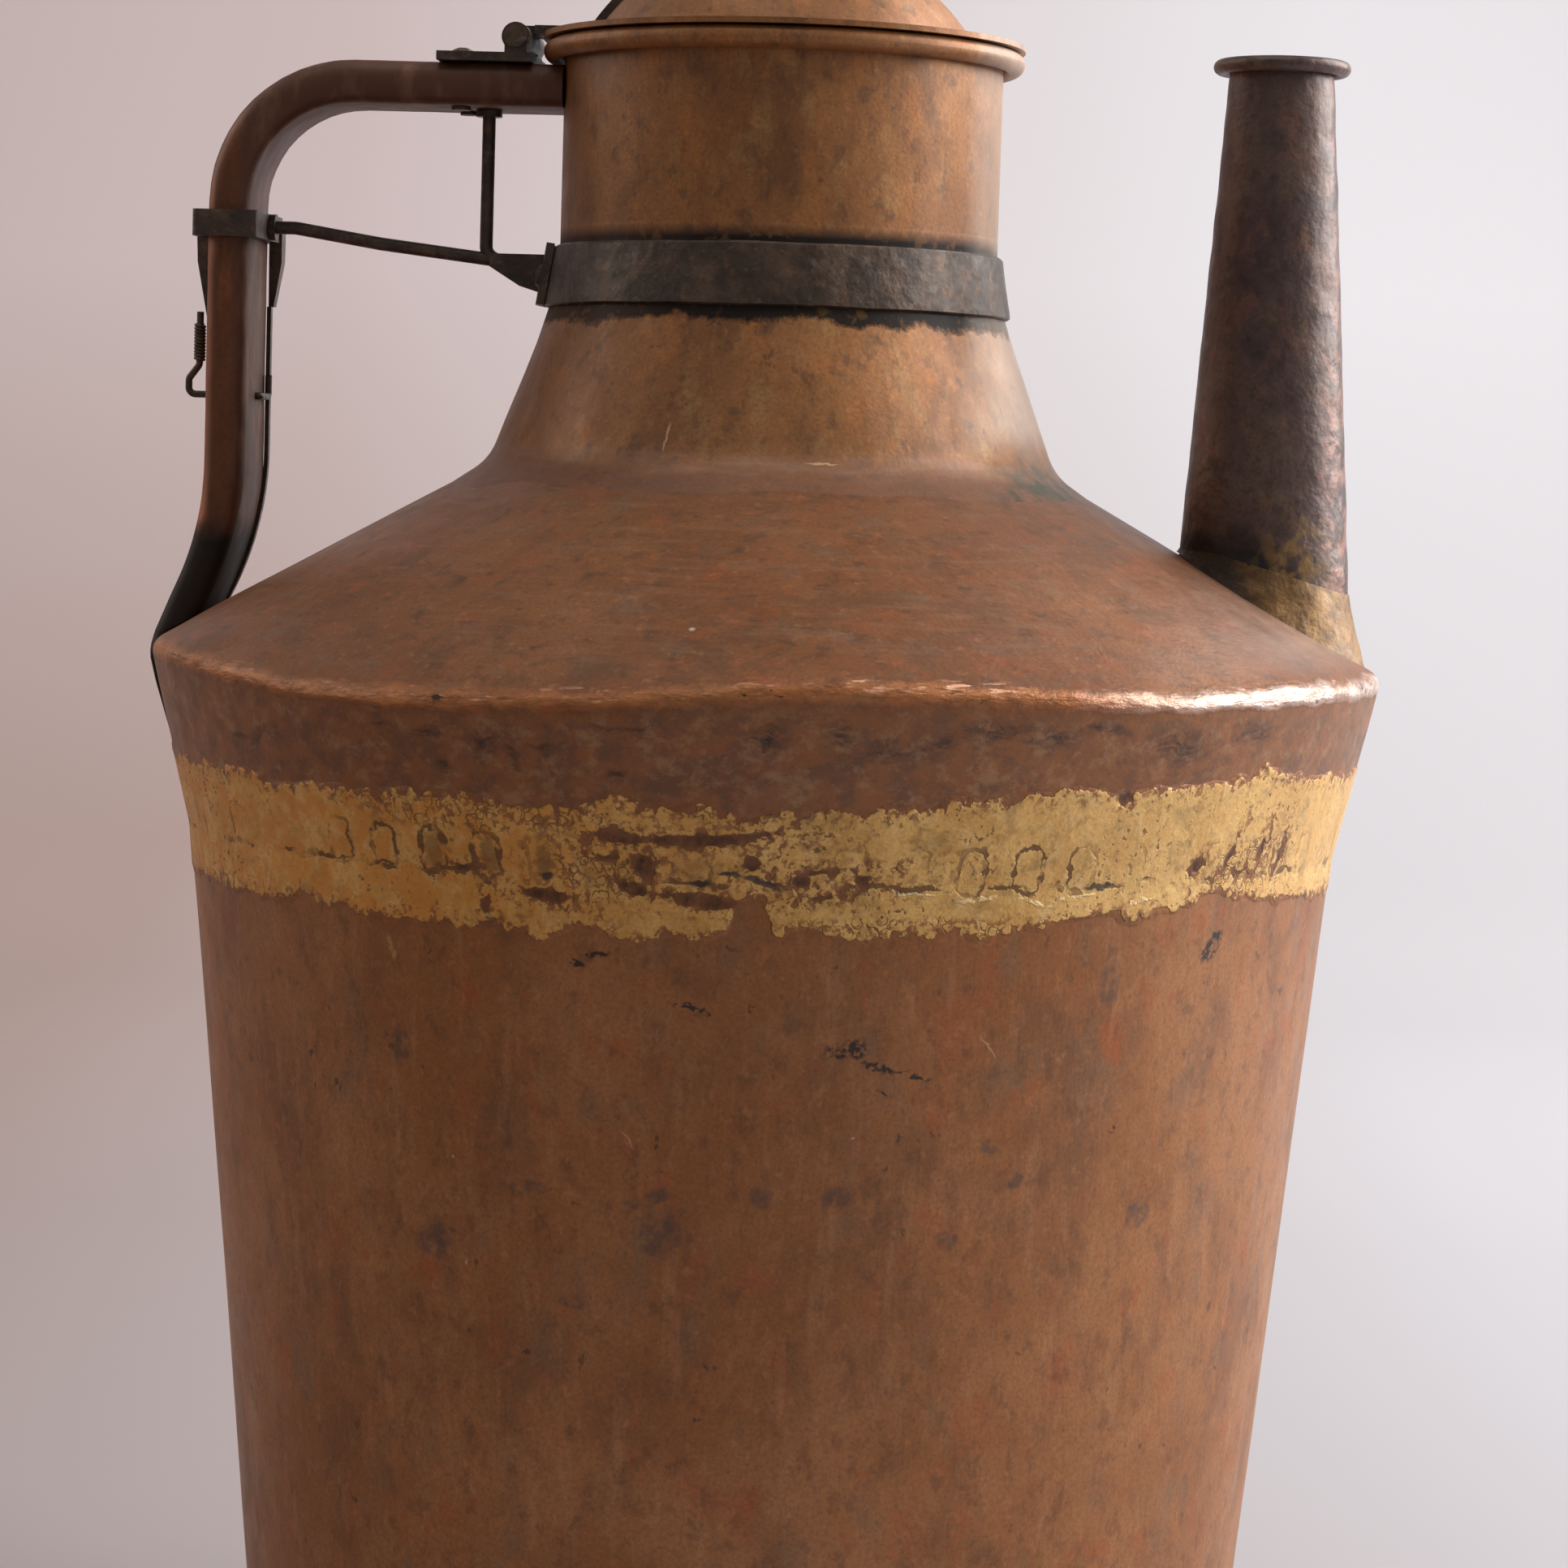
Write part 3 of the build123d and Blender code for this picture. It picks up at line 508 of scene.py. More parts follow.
skirt_smears = [
    (-136.1, 251.3, 5, 1.2, 10), (-140, 250, 3, 0.8, 14), (-115.5, 255.1, 3.4, 1, 0),
    (-120, 255.6, 3, 0.4, 0), (-110, 253.4, 3.6, 1.8, 0), (-114, 248, 1.8, 1.6, 0),
    (-107.4, 250.8, 1.6, 2.6, 0), (-104, 252.6, 3, 0.6, 0), (-97.6, 257.8, 6, 0.5, 0),
    (-98.5, 248, 2, 1.4, 0), (-85.6, 256.5, 3.6, 2.2, 30), (-79.6, 256.9, 2.6, 2.6, 0),
    (-76, 254.8, 5.6, 1.4, 8), (-71, 256.6, 6.6, 1.6, 16), (-66.6, 259, 6, 1.6, 4),
    (-61, 258, 6, 1.8, 0), (-56.8, 258.8, 7, 0.8, 0), (-48, 256, 7, 3, -3), (-38, 258, 7, 2.2, 0),
    (-10, 254, 8, 1.4, 6), (40, 256, 9, 1.6, -6), (90, 252, 8, 1.4, 8), (140, 255, 9, 1.6, -4),
]
cone_marks = [
    # small pale marks on the cone: x, y and half size in metres
    (-0.0068, -0.1212, 0.0010),
    (0.0260, -0.1190, 0.0005),
]
shoulder_ground = (134, 79, 38)
shoulder_coats = [
    ((148, 93, 50), 50, 0.42, 0.6, 1, 1),
    ((104, 68, 40), 16, 0.5, 0.64, 0.6, 0.7),
    ((164, 86, 40), 9, 0.55, 0.67, 0.6, 0.8),
    ((124, 98, 78), 13, 0.55, 0.68, 0.5, 0.5),
    ((88, 58, 38), 5, 0.55, 0.67, 0.65, 0.6),
    ((178, 122, 76), 2.8, 0.56, 0.7, 0.45, 0.8),
    ((84, 54, 34), 0.8, 0.42, 0.72, 0.5, 1),
]


def shoulder_tint(place):
    x, _, z = parts(place)
    rise = stored(place, "first_height") - rim_height
    on_cone = span(rise, 0.002, 0.008)
    wiped = span(cloud(place, 2.6, 145, 7, (8, 8, 0.45), 0.7), 0.5, 0.66, 0, 0.42)
    skirt = span(rise, -0.003, -0.006)
    stained = span(cloud(place, 7, 150, 8, (1, 1, 0.8), 0.75), 0.47, 0.58, 0, 0.55)
    tanned = span(cloud(place, 6, 151, 8, (1, 1, 0.8), 0.75), 0.51, 0.62, 0, 0.6)
    flat = unrolled(place, rim_radius, 2.2, 46)
    dragged = span(cloud(flat, 1.1, 52, 7, (5, 1, 1), 0.75), 0.4, 0.58, 0.05, 1)
    ridge = span(abs(rise + 0.0014) + cloud(place, 8, 155, 6) * 0.0040, 0.0046, 0.0030)
    # the rim's ridge made lighter, partly by rubbed wear and partly as a painted highlight on its
    # rounded face
    rubbed_and_lit = ridge * span(cloud(place, 3, 47, 6, (1.8, 1.8, 0.6), 0.65), 0.36, 0.58, 0.25, 1)
    crest = span(abs(rise + 0.0002), 0.0020, 0.0008)
    nick = span(cloud(place, 1.8, 48, 5, (2.6, 2.6, 0.4)), 0.56, 0.64)
    nick *= span(cloud(place, 20, 155, 2), 0.44, 0.56) * span(x, -0.080, -0.030, 0.25, 1)
    pit = span(cloud(place, 2, 49, 4, (1.8, 1.8, 0.7)), 0.63, 0.68)
    pit *= span(cloud(place, 30, 156, 2), 0.46, 0.58)
    layers = [
        ((146, 106, 76), wiped * on_cone),
        # painted reflection: pale grey-lilac on the right of the cone
        ((176, 152, 142), span(x, 0.082, 0.118, 0, 0.4) * on_cone),
        ((118, 86, 66), span(z, 0.285, 0.306, 0, 0.22)),
    ]
    for right, back, half in cone_marks:
        spot = (right, back, cone_height(math.hypot(right, back)))
        layers.append(((226, 198, 172), span(off(place, spot), half, half / 2, 0, 0.8)))
    layers += [
        (skirt_brown, skirt * skirt_share),
        ((94, 70, 56), skirt * stained),
        ((166, 124, 88), skirt * tanned),
        ((52, 38, 34), marks(flat, rim_radius, skirt_smears, 0.2) * dragged * 0.9),
        # lighter brown on the ridge: rubbed wear with a painted highlight
        ((190, 120, 66), rubbed_and_lit * 0.85),
        # painted highlight: near white on the ridge towards the right
        ((240, 220, 208), rubbed_and_lit * span(x, 0.070, 0.104) * 0.85),
        ((240, 180, 144), crest * nick),
        ((40, 28, 24), ridge * pit),
    ]
    colour = painted(coated(place, shoulder_ground, shoulder_coats, 40), layers)
    rough = sheen(place, 8, 51, 0.44, 0.58) - ridge * span(x, 0.062, 0.090, 0, 0.26)
    rough -= span(x, 0.070, 0.120, 0, 0.16) * on_cone
    planish = cloud(place, 9, 53, 2) * 0.3
    dings = cloud(place, 3.2, 54, 5, (2, 2, 0.6), 0.6) * ridge
    return colour, rough, planish + dings + cloud(place, 1, 57, 3) * 0.08


shoulder_finish = metal("shoulder_copper", shoulder_tint)
rim_round = 0.0034
rim_wander = [
    # place round the pitcher in degrees, how far the rim lies above its mean height in millimetres
    (-180, 0), (-150, 0), (-136, -2.8), (-128, -4.0), (-114, -4.0), (-98, -2.5),
    (-84, 1.3), (-69, 0.7), (-60, 0), (-47, -1.0), (-35, 0), (180, 0),
]
shoulder_corners = [
    (seam_radius, seam_height),
    (rim_radius, rim_height),
    (neck_foot_radius, cone_height(neck_foot_radius)),
]
shoulder_line = spaced(rounded(shoulder_corners, [rim_round]), 0.0009)
shoulder_points = turned_points(walled(shoulder_line, sheet, 0.006), 440)
up_from_rim = shoulder_points[..., 2] - rim_height
near_rim = np.exp(-((up_from_rim / 0.006) ** 2))
rim_dents = 0.0003 * lumps(shoulder_points, 0.014, 5) + 0.0001 * lumps(shoulder_points, 0.006, 6)
press = near_rim * (0.00042 + rim_dents)
press += np.clip(up_from_rim / 0.01, 0, 1) * 0.0003 * lumps(shoulder_points, 0.03, 7)
shoulder_points = pressed(shoulder_points, press)
shoulder_points[..., 2] -= near_rim * 0.00035 * (1 + lumps(shoulder_points, 0.02, 8))
first_height = shoulder_points[..., 2].copy()
shoulder_turn = np.degrees(np.arctan2(shoulder_points[..., 1], shoulder_points[..., 0]))
rim_places, rim_lifts = np.array(rim_wander).T
nearby = (-5, -2, 0, 2, 5)
rim_shift = sum(np.interp(shoulder_turn + step, rim_places, rim_lifts) for step in nearby)
rim_shift /= 1000 * len(nearby)
shoulder_points[..., 2] += rim_shift * np.exp(-(((first_height - rim_height) / 0.013) ** 2))


def store(mesh, name, values):
    """Gives a mesh a number for each of its points."""
    attribute = mesh.attributes.new(name, "FLOAT", "POINT")
    attribute.data.foreach_set("value", values.ravel())


shoulder_mesh = loft(shoulder_points)
store(shoulder_mesh, "first_height", first_height)
fit("shoulder_skin", shoulder_mesh, shoulder_finish, "copper", "shoulder")


# Brazing metal of the seam
# Brass that was run round the seam in the fire. It lies in a wide band with a ragged, blistered
# edge, thin enough in places to show the tongues, and bare where it was scraped.
brass_rows = 0.00045
brass_around = 900
brass_below = 0.0135
brass_above = 0.0270
brass_deep = 0.0009
edge_reach = 0.004
drop_size = 0.0026
foot_of_tongues = 0.0008
upper_edge = [
    # place round the pitcher in degrees, height in millimetres
    (-180, 242), (-149, 242.4), (-133, 241.7), (-121, 241.9), (-115, 242.5), (-108, 241),
    (-102, 241.3), (-98, 243), (-92, 243.2), (-89.6, 241.2), (-84, 241.6), (-82, 241), (-78, 241.9),
    (-74, 242.1), (-70, 244.1), (-62, 245.6), (-58, 246.5), (-53, 245.6), (-47, 246.2),
    (-41, 246.6), (-38, 249.3), (-35.5, 251.6), (-29, 246.9), (-16, 246.1), (0, 245), (40, 243),
    (90, 241), (130, 244), (180, 242),
]
lower_edge = [
    (-180, 217), (-147, 216.7), (-132, 217.2), (-122, 215.3), (-115, 215.2), (-111, 217),
    (-105.6, 213.9), (-102.4, 218.3), (-99.8, 215.2), (-90.3, 216.3), (-88.7, 217.8),
    (-88.2, 222.5), (-85.8, 223.4), (-84.5, 217.4), (-82, 217.3), (-75, 216.1), (-71, 217.6),
    (-66, 217), (-59, 218.7), (-54, 220.8), (-47, 219.7), (-44, 221.4), (-40, 223.5), (-28, 221.2),
    (-13, 219.3), (20, 219), (60, 216), (110, 218), (180, 217),
]
bare_spots = [
    (-98.3, 235.7, 4.6, 1.6, -6), (-91.6, 235.6, 12, 1.3, 3), (-86.8, 236.8, 5, 0.8, 14),
    (-99.3, 231.4, 4, 0.5, 0), (-96, 229.6, 2.2, 2.6, 0), (-97.1, 225.2, 3.6, 1.4, -18),
    (-91, 223.2, 7.4, 1.7, -5), (-86.7, 231.2, 1.8, 1.7, 0), (-82.5, 228, 1.8, 1.5, 0),
    (-77.1, 228.1, 1.8, 1.3, 0), (-80.8, 229.8, 5, 0.4, 4), (-80, 224.7, 4, 0.5, 8),
    (-104.9, 222.8, 5.8, 1.4, -6), (-111, 219.8, 3.6, 0.6, 90), (-113.1, 227.2, 3.4, 0.7, 0),
    (-53, 245.2, 2, 1.6, 0), (-42.5, 230, 2.2, 1.4, 30), (-38, 231.6, 3, 0.8, 60),
    (-33, 233, 3, 1, 70), (-29, 231.2, 3.4, 1.2, 80), (-36, 227.6, 3, 0.8, 10),
    (70, 233, 16, 1.4, 0), (100, 221, 8, 3, 10), (160, 229, 6, 1.2, -8),
]
blisters = [
    (-112, 239, 32, 4.2, 0), (-100.5, 229, 10, 8, 0), (-90, 241.5, 20, 2.2, 0),
    (-72, 218.5, 30, 2.4, 0), (-34, 229, 18, 6, 10), (60, 237, 40, 5, 0),
]
plain_tongues = [
    (-118, 230.2, 29, 8, 0), (-62.2, 230.2, 17.5, 8, 0), (100, 230.2, 40, 8, 0),
]
stained_tongues = [
    (-116.2, 230.6, 2.2, 3.6, 0), (-110.5, 230, 2.2, 3.8, 0), (-105.3, 229.8, 2, 3, 0),
]
# raised lips under the tongues, painted pale as highlights
lit_lip_marks = [
    (-72.5, 225.7, 5, 0.4, -6), (-66.5, 224.5, 5, 0.5, 6), (-61, 223.9, 4, 0.5, -10),
    (-56.8, 224.6, 5, 0.4, 8), (-49, 223.2, 4, 0.4, 12),
]
grime_spots = [
    (-85.7, 227.4, 4.8, 0.8, -17), (-88.6, 228.8, 2.6, 0.5, 0), (-91.2, 226.8, 2.4, 0.6, 0),
    (-54, 226.7, 4.6, 0.6, 0), (-105, 226.8, 1.8, 0.8, 0),
]


def brass_tint(place):
    x, _, z = parts(place)
    flat = unrolled(place, seam_radius, 0.9, 64)
    drops = {"Vector": flat, "Scale": 1 / drop_size}
    drop = add(place.tree, "ShaderNodeTexVoronoi", drops, "Distance", voronoi_dimensions="2D")
    blistered = marks(flat, seam_radius, blisters)

    # where there is brass: the band's own depth, made ragged by drops and fine noise
    scraped = stored(place, "bare")
    round_edge = (0.44 - drop) * 0.0024
    fine = (cloud(place, 1.2, 162, 4) - 0.5) * 0.0020
    depth = stored(place, "brass_depth")
    for part in (round_edge, round_edge * blistered * 1.2, fine):
        depth += part * (1.0 - scraped * 0.85)
    crumbs = span(cloud(place, 1.6, 174, 5, rough=0.6), 0.52, 0.565)
    crumbs *= most(span(depth, 0.0034, 0.0010, 0, 0.9), blistered * 0.8)
    brass = span(depth, -0.00006, 0.00008) * (1.0 - crumbs)

    # the copper beside it, and the scraped spots in it
    below = coated(place, drum_ground, drum_coats, 1)
    above = coated(place, shoulder_ground, shoulder_coats, 40)
    above = over(above, skirt_brown, skirt_share)
    copper = over(below, above, span(z, seam_height - 0.001, seam_height + 0.001))
    dirty = span(cloud(place, 2.8, 164, 5), 0.36, 0.6, 0.35, 1)
    copper = over(copper, (82, 50, 27), scraped * dirty)

    gold_coats = [
        ((232, 184, 108), 14, 0.38, 0.6, 1, 1),
        ((140, 104, 52), 7.5, 0.54, 0.68, 0.6, 1),
        ((238, 204, 144), 3.6, 0.52, 0.7, 0.45, 1),
        ((128, 92, 46), 2.2, 0.56, 0.68, 0.5, 1),
        ((150, 112, 60), 0.7, 0.42, 0.72, 0.45, 1),
    ]

    # outlines of the tongues under the brass
    around, up, _ = parts(unrolled(place, seam_radius, 1.2, 166))
    pitch = 2 * math.pi * seam_radius / tongue_count
    shifted = around - (math.radians(tongue_turn) * seam_radius - pitch / 2)
    beside = (shifted / pitch).step("FRACT") - 0.5
    aside = abs(beside) * pitch
    corner_round = 0.0022
    aside -= (tongue_width / 2 - corner_round)
    upright = abs(up - (seam_height + 0.0042))
    upright -= (0.0046 - corner_round)
    reach = {0: most(aside, 0.0), 1: most(upright, 0.0)}
    corner = off(add(place.tree, "ShaderNodeCombineXYZ", reach))
    inside = most(aside, upright).step("MINIMUM", 0.0)
    off_edge = abs(corner + inside - corner_round)
    plain = marks(flat, seam_radius, plain_tongues)
    faint = span(cloud(place, 16, 65, 3), 0.52, 0.62, 0, 0.6)
    blotted = span(cloud(place, 3, 71, 4), 0.36, 0.50)
    shown = most(plain, faint) * blotted
    line_width = span(cloud(place, 2.6, 72, 3), 0.35, 0.68, 0.0001, 0.0009)
    crack = span(off_edge - line_width, 0.00016, -0.0001) * shown
    seam_off = abs(up - (seam_height + foot_of_tongues))
    seam_shown = span(cloud(place, 10, 66, 4), 0.46, 0.54)
    seam_crack = span(seam_off - line_width, 0.00016, -0.0001)
    crack = most(crack, seam_crack * seam_shown)

    # blisters, pits, grime, a painted shadow line at the brass's edge, and painted shade and sheen
    ring = span(abs(drop - 0.38), 0.085, 0.03) * span(cloud(place, 4.2, 167, 4), 0.42, 0.54)
    pits = span(cloud(place, 1.4, 67, 5), 0.6, 0.67) * span(cloud(place, 24, 68, 3), 0.45, 0.6)
    # painted shadow: a thin dark line just inside the brass's edge
    edge_shadow_line = span(depth, 0.0004, 0) * span(cloud(place, 6, 163, 3), 0.44, 0.56)
    dark = most(crack, most(ring * blistered * 0.8, pits))
    dark = most(dark, edge_shadow_line * 0.6)
    tarnish_and_shade = span(cloud(place, 5, 165, 5), 0.42, 0.58, 0.3, 1)
    # raised lips under the tongues, painted pale as a highlight and raised in the relief
    lit_lips = marks(flat, seam_radius, lit_lip_marks) * span(cloud(place, 1.6, 168, 3), 0.36, 0.5)
    layers = [
        # orange-brown towards the left: partly tarnish, partly painted shade
        ((204, 134, 50), span(x, 0.020, -0.050, 0, 0.8) * tarnish_and_shade),
        # painted sheen: paler towards the right
        ((232, 200, 148), span(x, 0.045, 0.085, 0, 0.16)),
        ((112, 82, 40), marks(flat, seam_radius, stained_tongues) * 0.6),
        # dark marks: cracks, blister rings and pits, with the painted shadow line at the brass's
        # edge
        ((92, 58, 28), dark * 0.85),
        ((240, 212, 162), lit_lips * 0.8),
    ]
    gold = painted(coated(place, (210, 158, 82), gold_coats, 61), layers)
    grime = marks(flat, seam_radius, grime_spots) * 0.85
    colour = over(over(copper, gold, brass), (50, 42, 42), grime)
    relief = cloud(place, 2.2, 70, 5) * 0.3 + span(depth, -0.0002, 0.0004) * 0.22
    relief = relief + lit_lips * 0.2 - dark * 0.25
    return colour, sheen(place, 4, 69, 0.48, 0.64, 4), relief


brass_finish = metal("seam_brass", brass_tint)
bottom_radius = seam_radius - brass_below * (seam_radius - base_radius) / seam_height
brass_corners = [
    (bottom_radius, seam_height - brass_below),
    (seam_radius, seam_height),
    (seam_radius + brass_above * skirt_lean, seam_height + brass_above),
]
brass_low, brass_high = (spaced(brass_corners[k : k + 2], brass_rows) for k in (0, 1))
brass_line = np.concatenate([brass_low, brass_high[1:]])
brass_back = spaced(brass_line[::-1] - (brass_deep, 0), 0.004)
brass_points = turned_points(np.concatenate([brass_line, brass_back]), brass_around)
front = slice(len(brass_line))
brass_front = brass_points[:, front]
brass_turn = np.degrees(np.arctan2(brass_front[..., 1], brass_front[..., 0]))
brass_height = brass_front[..., 2]
ragged = 0.0020 * lumps(brass_front, 0.008, 9) + 0.0012 * lumps(brass_front, 0.0034, 10)
top_edge, low_edge = (
    np.interp(brass_turn, *np.array(edge).T) / 1000 for edge in (upper_edge, lower_edge)
)
in_band = np.minimum(top_edge - brass_height, brass_height - low_edge) + ragged
off_spots = np.full(in_band.shape, 1.0)
for turn, height, half_length, half_width, tilt in bare_spots:
    along = np.radians(brass_turn - turn) * seam_radius * 1000
    up = brass_height * 1000 - height
    lean = math.radians(tilt)
    far = (along * math.cos(lean) + up * math.sin(lean)) / half_length
    wide = (up * math.cos(lean) - along * math.sin(lean)) / half_width
    off_spot = (np.hypot(far, wide) - 1) * min(half_length, half_width) / 1000
    off_spots = np.minimum(off_spots, off_spot)
brass_depth = np.full(brass_points.shape[:2], edge_reach)
brass_depth[:, front] = np.clip(np.minimum(in_band, off_spots), -edge_reach, edge_reach)
bare = np.zeros(brass_points.shape[:2])
bare[:, front] = np.clip(0.5 - off_spots / 0.0012, 0, 1)
relief = np.clip((in_band + 0.0009) * 0.3, -0.0006, 0.00026)
relief -= np.where(relief > 0.00010, 0.00014, 0) * bare[:, front]
relief += np.where(relief > 0.00010, 0.00004 * lumps(brass_front, 0.004, 12), 0)
brass_points[:, front] = pressed(brass_front, -relief)
brass_mesh = loft(brass_points)
store(brass_mesh, "brass_depth", brass_depth)
store(brass_mesh, "bare", bare)
fit("seam_brass", brass_mesh, brass_finish, "brass", "seam_brazing", crease=60)


# Neck
# Cone and mouth tube, one sheet, golden brown and streaked. Its foot flares out and is brazed
# smooth on the shoulder, so the lap is feathered away.
neck_sheet = 0.0014
lap_radius = 0.0765
flare_radius = 0.0650
waist_radius = 0.0522
mouth_radius = 0.050
collar_low = 0.3448
collar_high = 0.3588
mouth_top = 0.405
neck_coats = [
    ((168, 112, 62), 30, 0.4, 0.62, 1, 1.4),
    ((110, 72, 42), 14, 0.5, 0.64, 0.55, 1.6),
    ((186, 116, 56), 10, 0.54, 0.66, 0.6, 1.6),
    ((184, 144, 92), 7, 0.55, 0.68, 0.45, 2.4),
    ((98, 66, 44), 4.4, 0.54, 0.66, 0.6, 1.4),
    ((196, 134, 82), 2.2, 0.56, 0.7, 0.4, 1.2),
    ((96, 64, 38), 0.8, 0.42, 0.72, 0.5, 1),
]
neck_middle = 0.062
neck_scratches = [
    (-107.5, 316, 3.2, 0.3, 84), (-76.5, 311, 3.6, 0.3, 0),
]


def neck_tint(place):
    x, y, z = parts(place)
    foot = z + cloud(place, 12, 186, 4) * 0.005
    on_shoulder = coated(place, shoulder_ground, shoulder_coats, 40)
    on_shoulder = over(on_shoulder, (128, 98, 84), 0.35)
    ash = span(cloud(place, 4, 87, 5, (4, 4, 0.5), 0.6), 0.46, 0.62, 0, 0.22)
    # a dark band just under the collar: partly dirt and partly painted shadow under its edge
    dark_band_height = z + cloud(place, 10, 88, 6, rough=0.65) * 0.010
    dirt_and_shade = span(dark_band_height, collar_low + 0.0010, collar_low + 0.0024)
    dirt_and_shade *= span(z, collar_high + 0.004, collar_high + 0.001)
    soil_and_shade = over((22, 17, 14), (92, 66, 36), span(cloud(place, 2.8, 188, 5), 0.56, 0.64))
    green = span(cloud(place, 5, 89, 6, rough=0.65), 0.4, 0.62)
    green *= span(x, 0.048, 0.058) * span(y, 0, -0.012) * span(z, 0.3145, 0.3100)
    flat = unrolled(place, neck_middle, 0.5, 187)
    layers = [
        (on_shoulder, span(foot, 0.3168, 0.3098)),
        ((164, 138, 124), span(abs(z - 0.3105), 0.004, 0.001) * ash),
        ((226, 184, 146), marks(flat, neck_middle, neck_scratches) * 0.6),
        (soil_and_shade, dirt_and_shade * 0.97),
        ((58, 66, 42), green * 0.9),
        ((78, 52, 34), specks(place, 3.4, 0.63, 90, (1, 1, 1.6)) * 0.6),
        # painted shade: darker orange-brown towards the left
        ((104, 58, 26), span(x, -0.010, -0.050, 0, 0.35)),
        # painted highlight: pale grey low on the neck's right
        ((214, 198, 184), span(x, 0.043, 0.052, 0, 0.45) * span(foot, 0.3150, 0.3230)),
    ]
    colour = painted(coated(place, (146, 94, 50), neck_coats, 80), layers)
    planish = cloud(place, 10, 93, 2, (1, 1, 1.6)) * 0.3
    skin = cloud(place, 1, 94, 3) * 0.07
    return colour, sheen(place, 8, 91, 0.46, 0.6) + dirt_and_shade * 0.35, planish + skin + dirt_and_shade * 0.3


neck_finish = metal("neck_copper", neck_tint)
neck_corners = [
    (lap_radius, cone_height(lap_radius) - 0.0003),
    (flare_radius, cone_height(flare_radius) + 0.0012),
    (waist_radius, collar_low),
    (mouth_radius, collar_high),
    (mouth_radius, mouth_top),
]
neck_line = spaced(rounded(neck_corners, [0.013, 0.007, 0.007], 10), 0.0012)
neck_points = turned_points(walled(neck_line, neck_sheet, 0.006), 280)
free = np.clip((collar_low - neck_points[..., 2]) / 0.008, 0, 1)
neck_dents = free * (0.0002 + 0.0004 * lumps(neck_points, 0.022, 13))
neck_points = pressed(neck_points, neck_dents)
fit("neck_skin", loft(neck_points), neck_finish, "copper", "neck")
dress(["mouth_rim"], neck_finish)


# Iron collar
# A hoop of forged strap, driven down on the neck to hold the arm. It is dark, scaled and dented.
hoop_thickness = 0.0013
hoop_gap = 0.00005
hoop_bevel = 0.0001


def iron_tint(place):
    iron_coats = [
        ((92, 72, 56), 10, 0.44, 0.6, 1, 1),
        ((54, 42, 34), 5.5, 0.5, 0.62, 0.7, 1),
        ((120, 84, 58), 4, 0.57, 0.68, 0.6, 1),
        ((126, 112, 102), 3.2, 0.58, 0.7, 0.45, 0.7),
        ((46, 36, 30), 1.6, 0.54, 0.66, 0.55, 1),
    ]
    relief = cloud(place, 3, 105, 5) * 0.45 + cloud(place, 8, 106, 1) * 0.5
    return coated(place, (70, 54, 42), iron_coats, 101), sheen(place, 3, 104, 0.42, 0.6), relief


iron_finish = metal("forged_iron", iron_tint)
hoop_low, hoop_high = waist_radius + hoop_gap, mouth_radius + hoop_gap
hoop_corners = [
    (hoop_low, collar_low),
    (hoop_low + hoop_thickness, collar_low + hoop_bevel),
    (hoop_high + hoop_thickness, collar_high - hoop_bevel),
    (hoop_high, collar_high),
]
hoop_outline = rounded(hoop_corners, [0.0005, 0.0005], 4)
hoop_face = spaced(hoop_outline[:-1], 0.0007)
hoop_back = spaced([hoop_corners[-1], hoop_corners[0]], 0.003)[:-1]
hoop_points = turned_points(np.concatenate([hoop_face, hoop_corners[-1:], hoop_back]), 320)
outside = np.arange(hoop_points.shape[1]) <= len(hoop_face)
hoop_dents = 0.00012 * (1 + lumps(hoop_points, 0.009, 14))
hoop_dents += 0.00005 * lumps(hoop_points, 0.0035, 15)
hoop_points = pressed(hoop_points, hoop_dents * outside)
hoop_points[..., 2] += 0.0002 * lumps(hoop_points, 0.014, 16)
fit("collar_hoop", loft(hoop_points), iron_finish, "iron", "neck_collar")
dress(["collar_arm", "arm_rivets"], iron_finish)


# Handle
# A heavy copper bar, flat inside and round outside, bent down from the mouth to the rim. Its
# foot is drawn out into a tail that goes over the rim and down the skirt.
handle_start = 0.0492
handle_top = 0.3995
handle_outer_reach = 0.1303
handle_bend_height = 0.2930
handle_foot_reach = 0.1422
handle_foot_height = 0.2655
tail_reach = 0.1354
tail_end = 0.2338
handle_width = 0.028
handle_thickness = 0.010


def handle_tint(place):
    x, _, z = parts(place)
    handle_coats = [
        ((128, 74, 38), 22, 0.4, 0.6, 1, 3),
        ((78, 44, 24), 9, 0.52, 0.66, 0.55, 2.4),
        ((168, 96, 50), 6, 0.56, 0.7, 0.45, 3),
        ((70, 42, 26), 1.2, 0.42, 0.72, 0.45, 1),
    ]
    inner = span(x, -0.1240, -0.1212)
    # the inner face: darker towards the bottom, with pinkish painted highlights in clouds, partly
    # rubbed
    rubbed_and_lit = span(cloud(place, 6, 121, 5, (1, 1, 3)), 0.52, 0.64, 0, 0.6)
    lane = [((70, 40, 24), span(z, 0.345, 0.300)), ((132, 92, 74), rubbed_and_lit)]
    edge = most(span(x, -0.1280, -0.1300), span(x + z * 0.45, 0.0008, -0.0012))
    # near black over the handle's lower part, below about 0.30 m
    near_black = span(z + cloud(place, 8, 113, 5) * 0.014, 0.303, 0.296)
    layers = [
        (painted((88, 54, 38), lane), inner * 0.85),
        ((184, 104, 54), edge * 0.6),
        ((17, 16, 13), near_black * 0.96),
    ]
    colour = painted(coated(place, (106, 58, 28), handle_coats, 111), layers)
    rough = sheen(place, 6, 115, 0.42, 0.56, 4) + near_black * 0.3 + inner * 0.14
    return colour, rough, cloud(place, 6, 116, 3, (1, 1, 2)) * 0.3


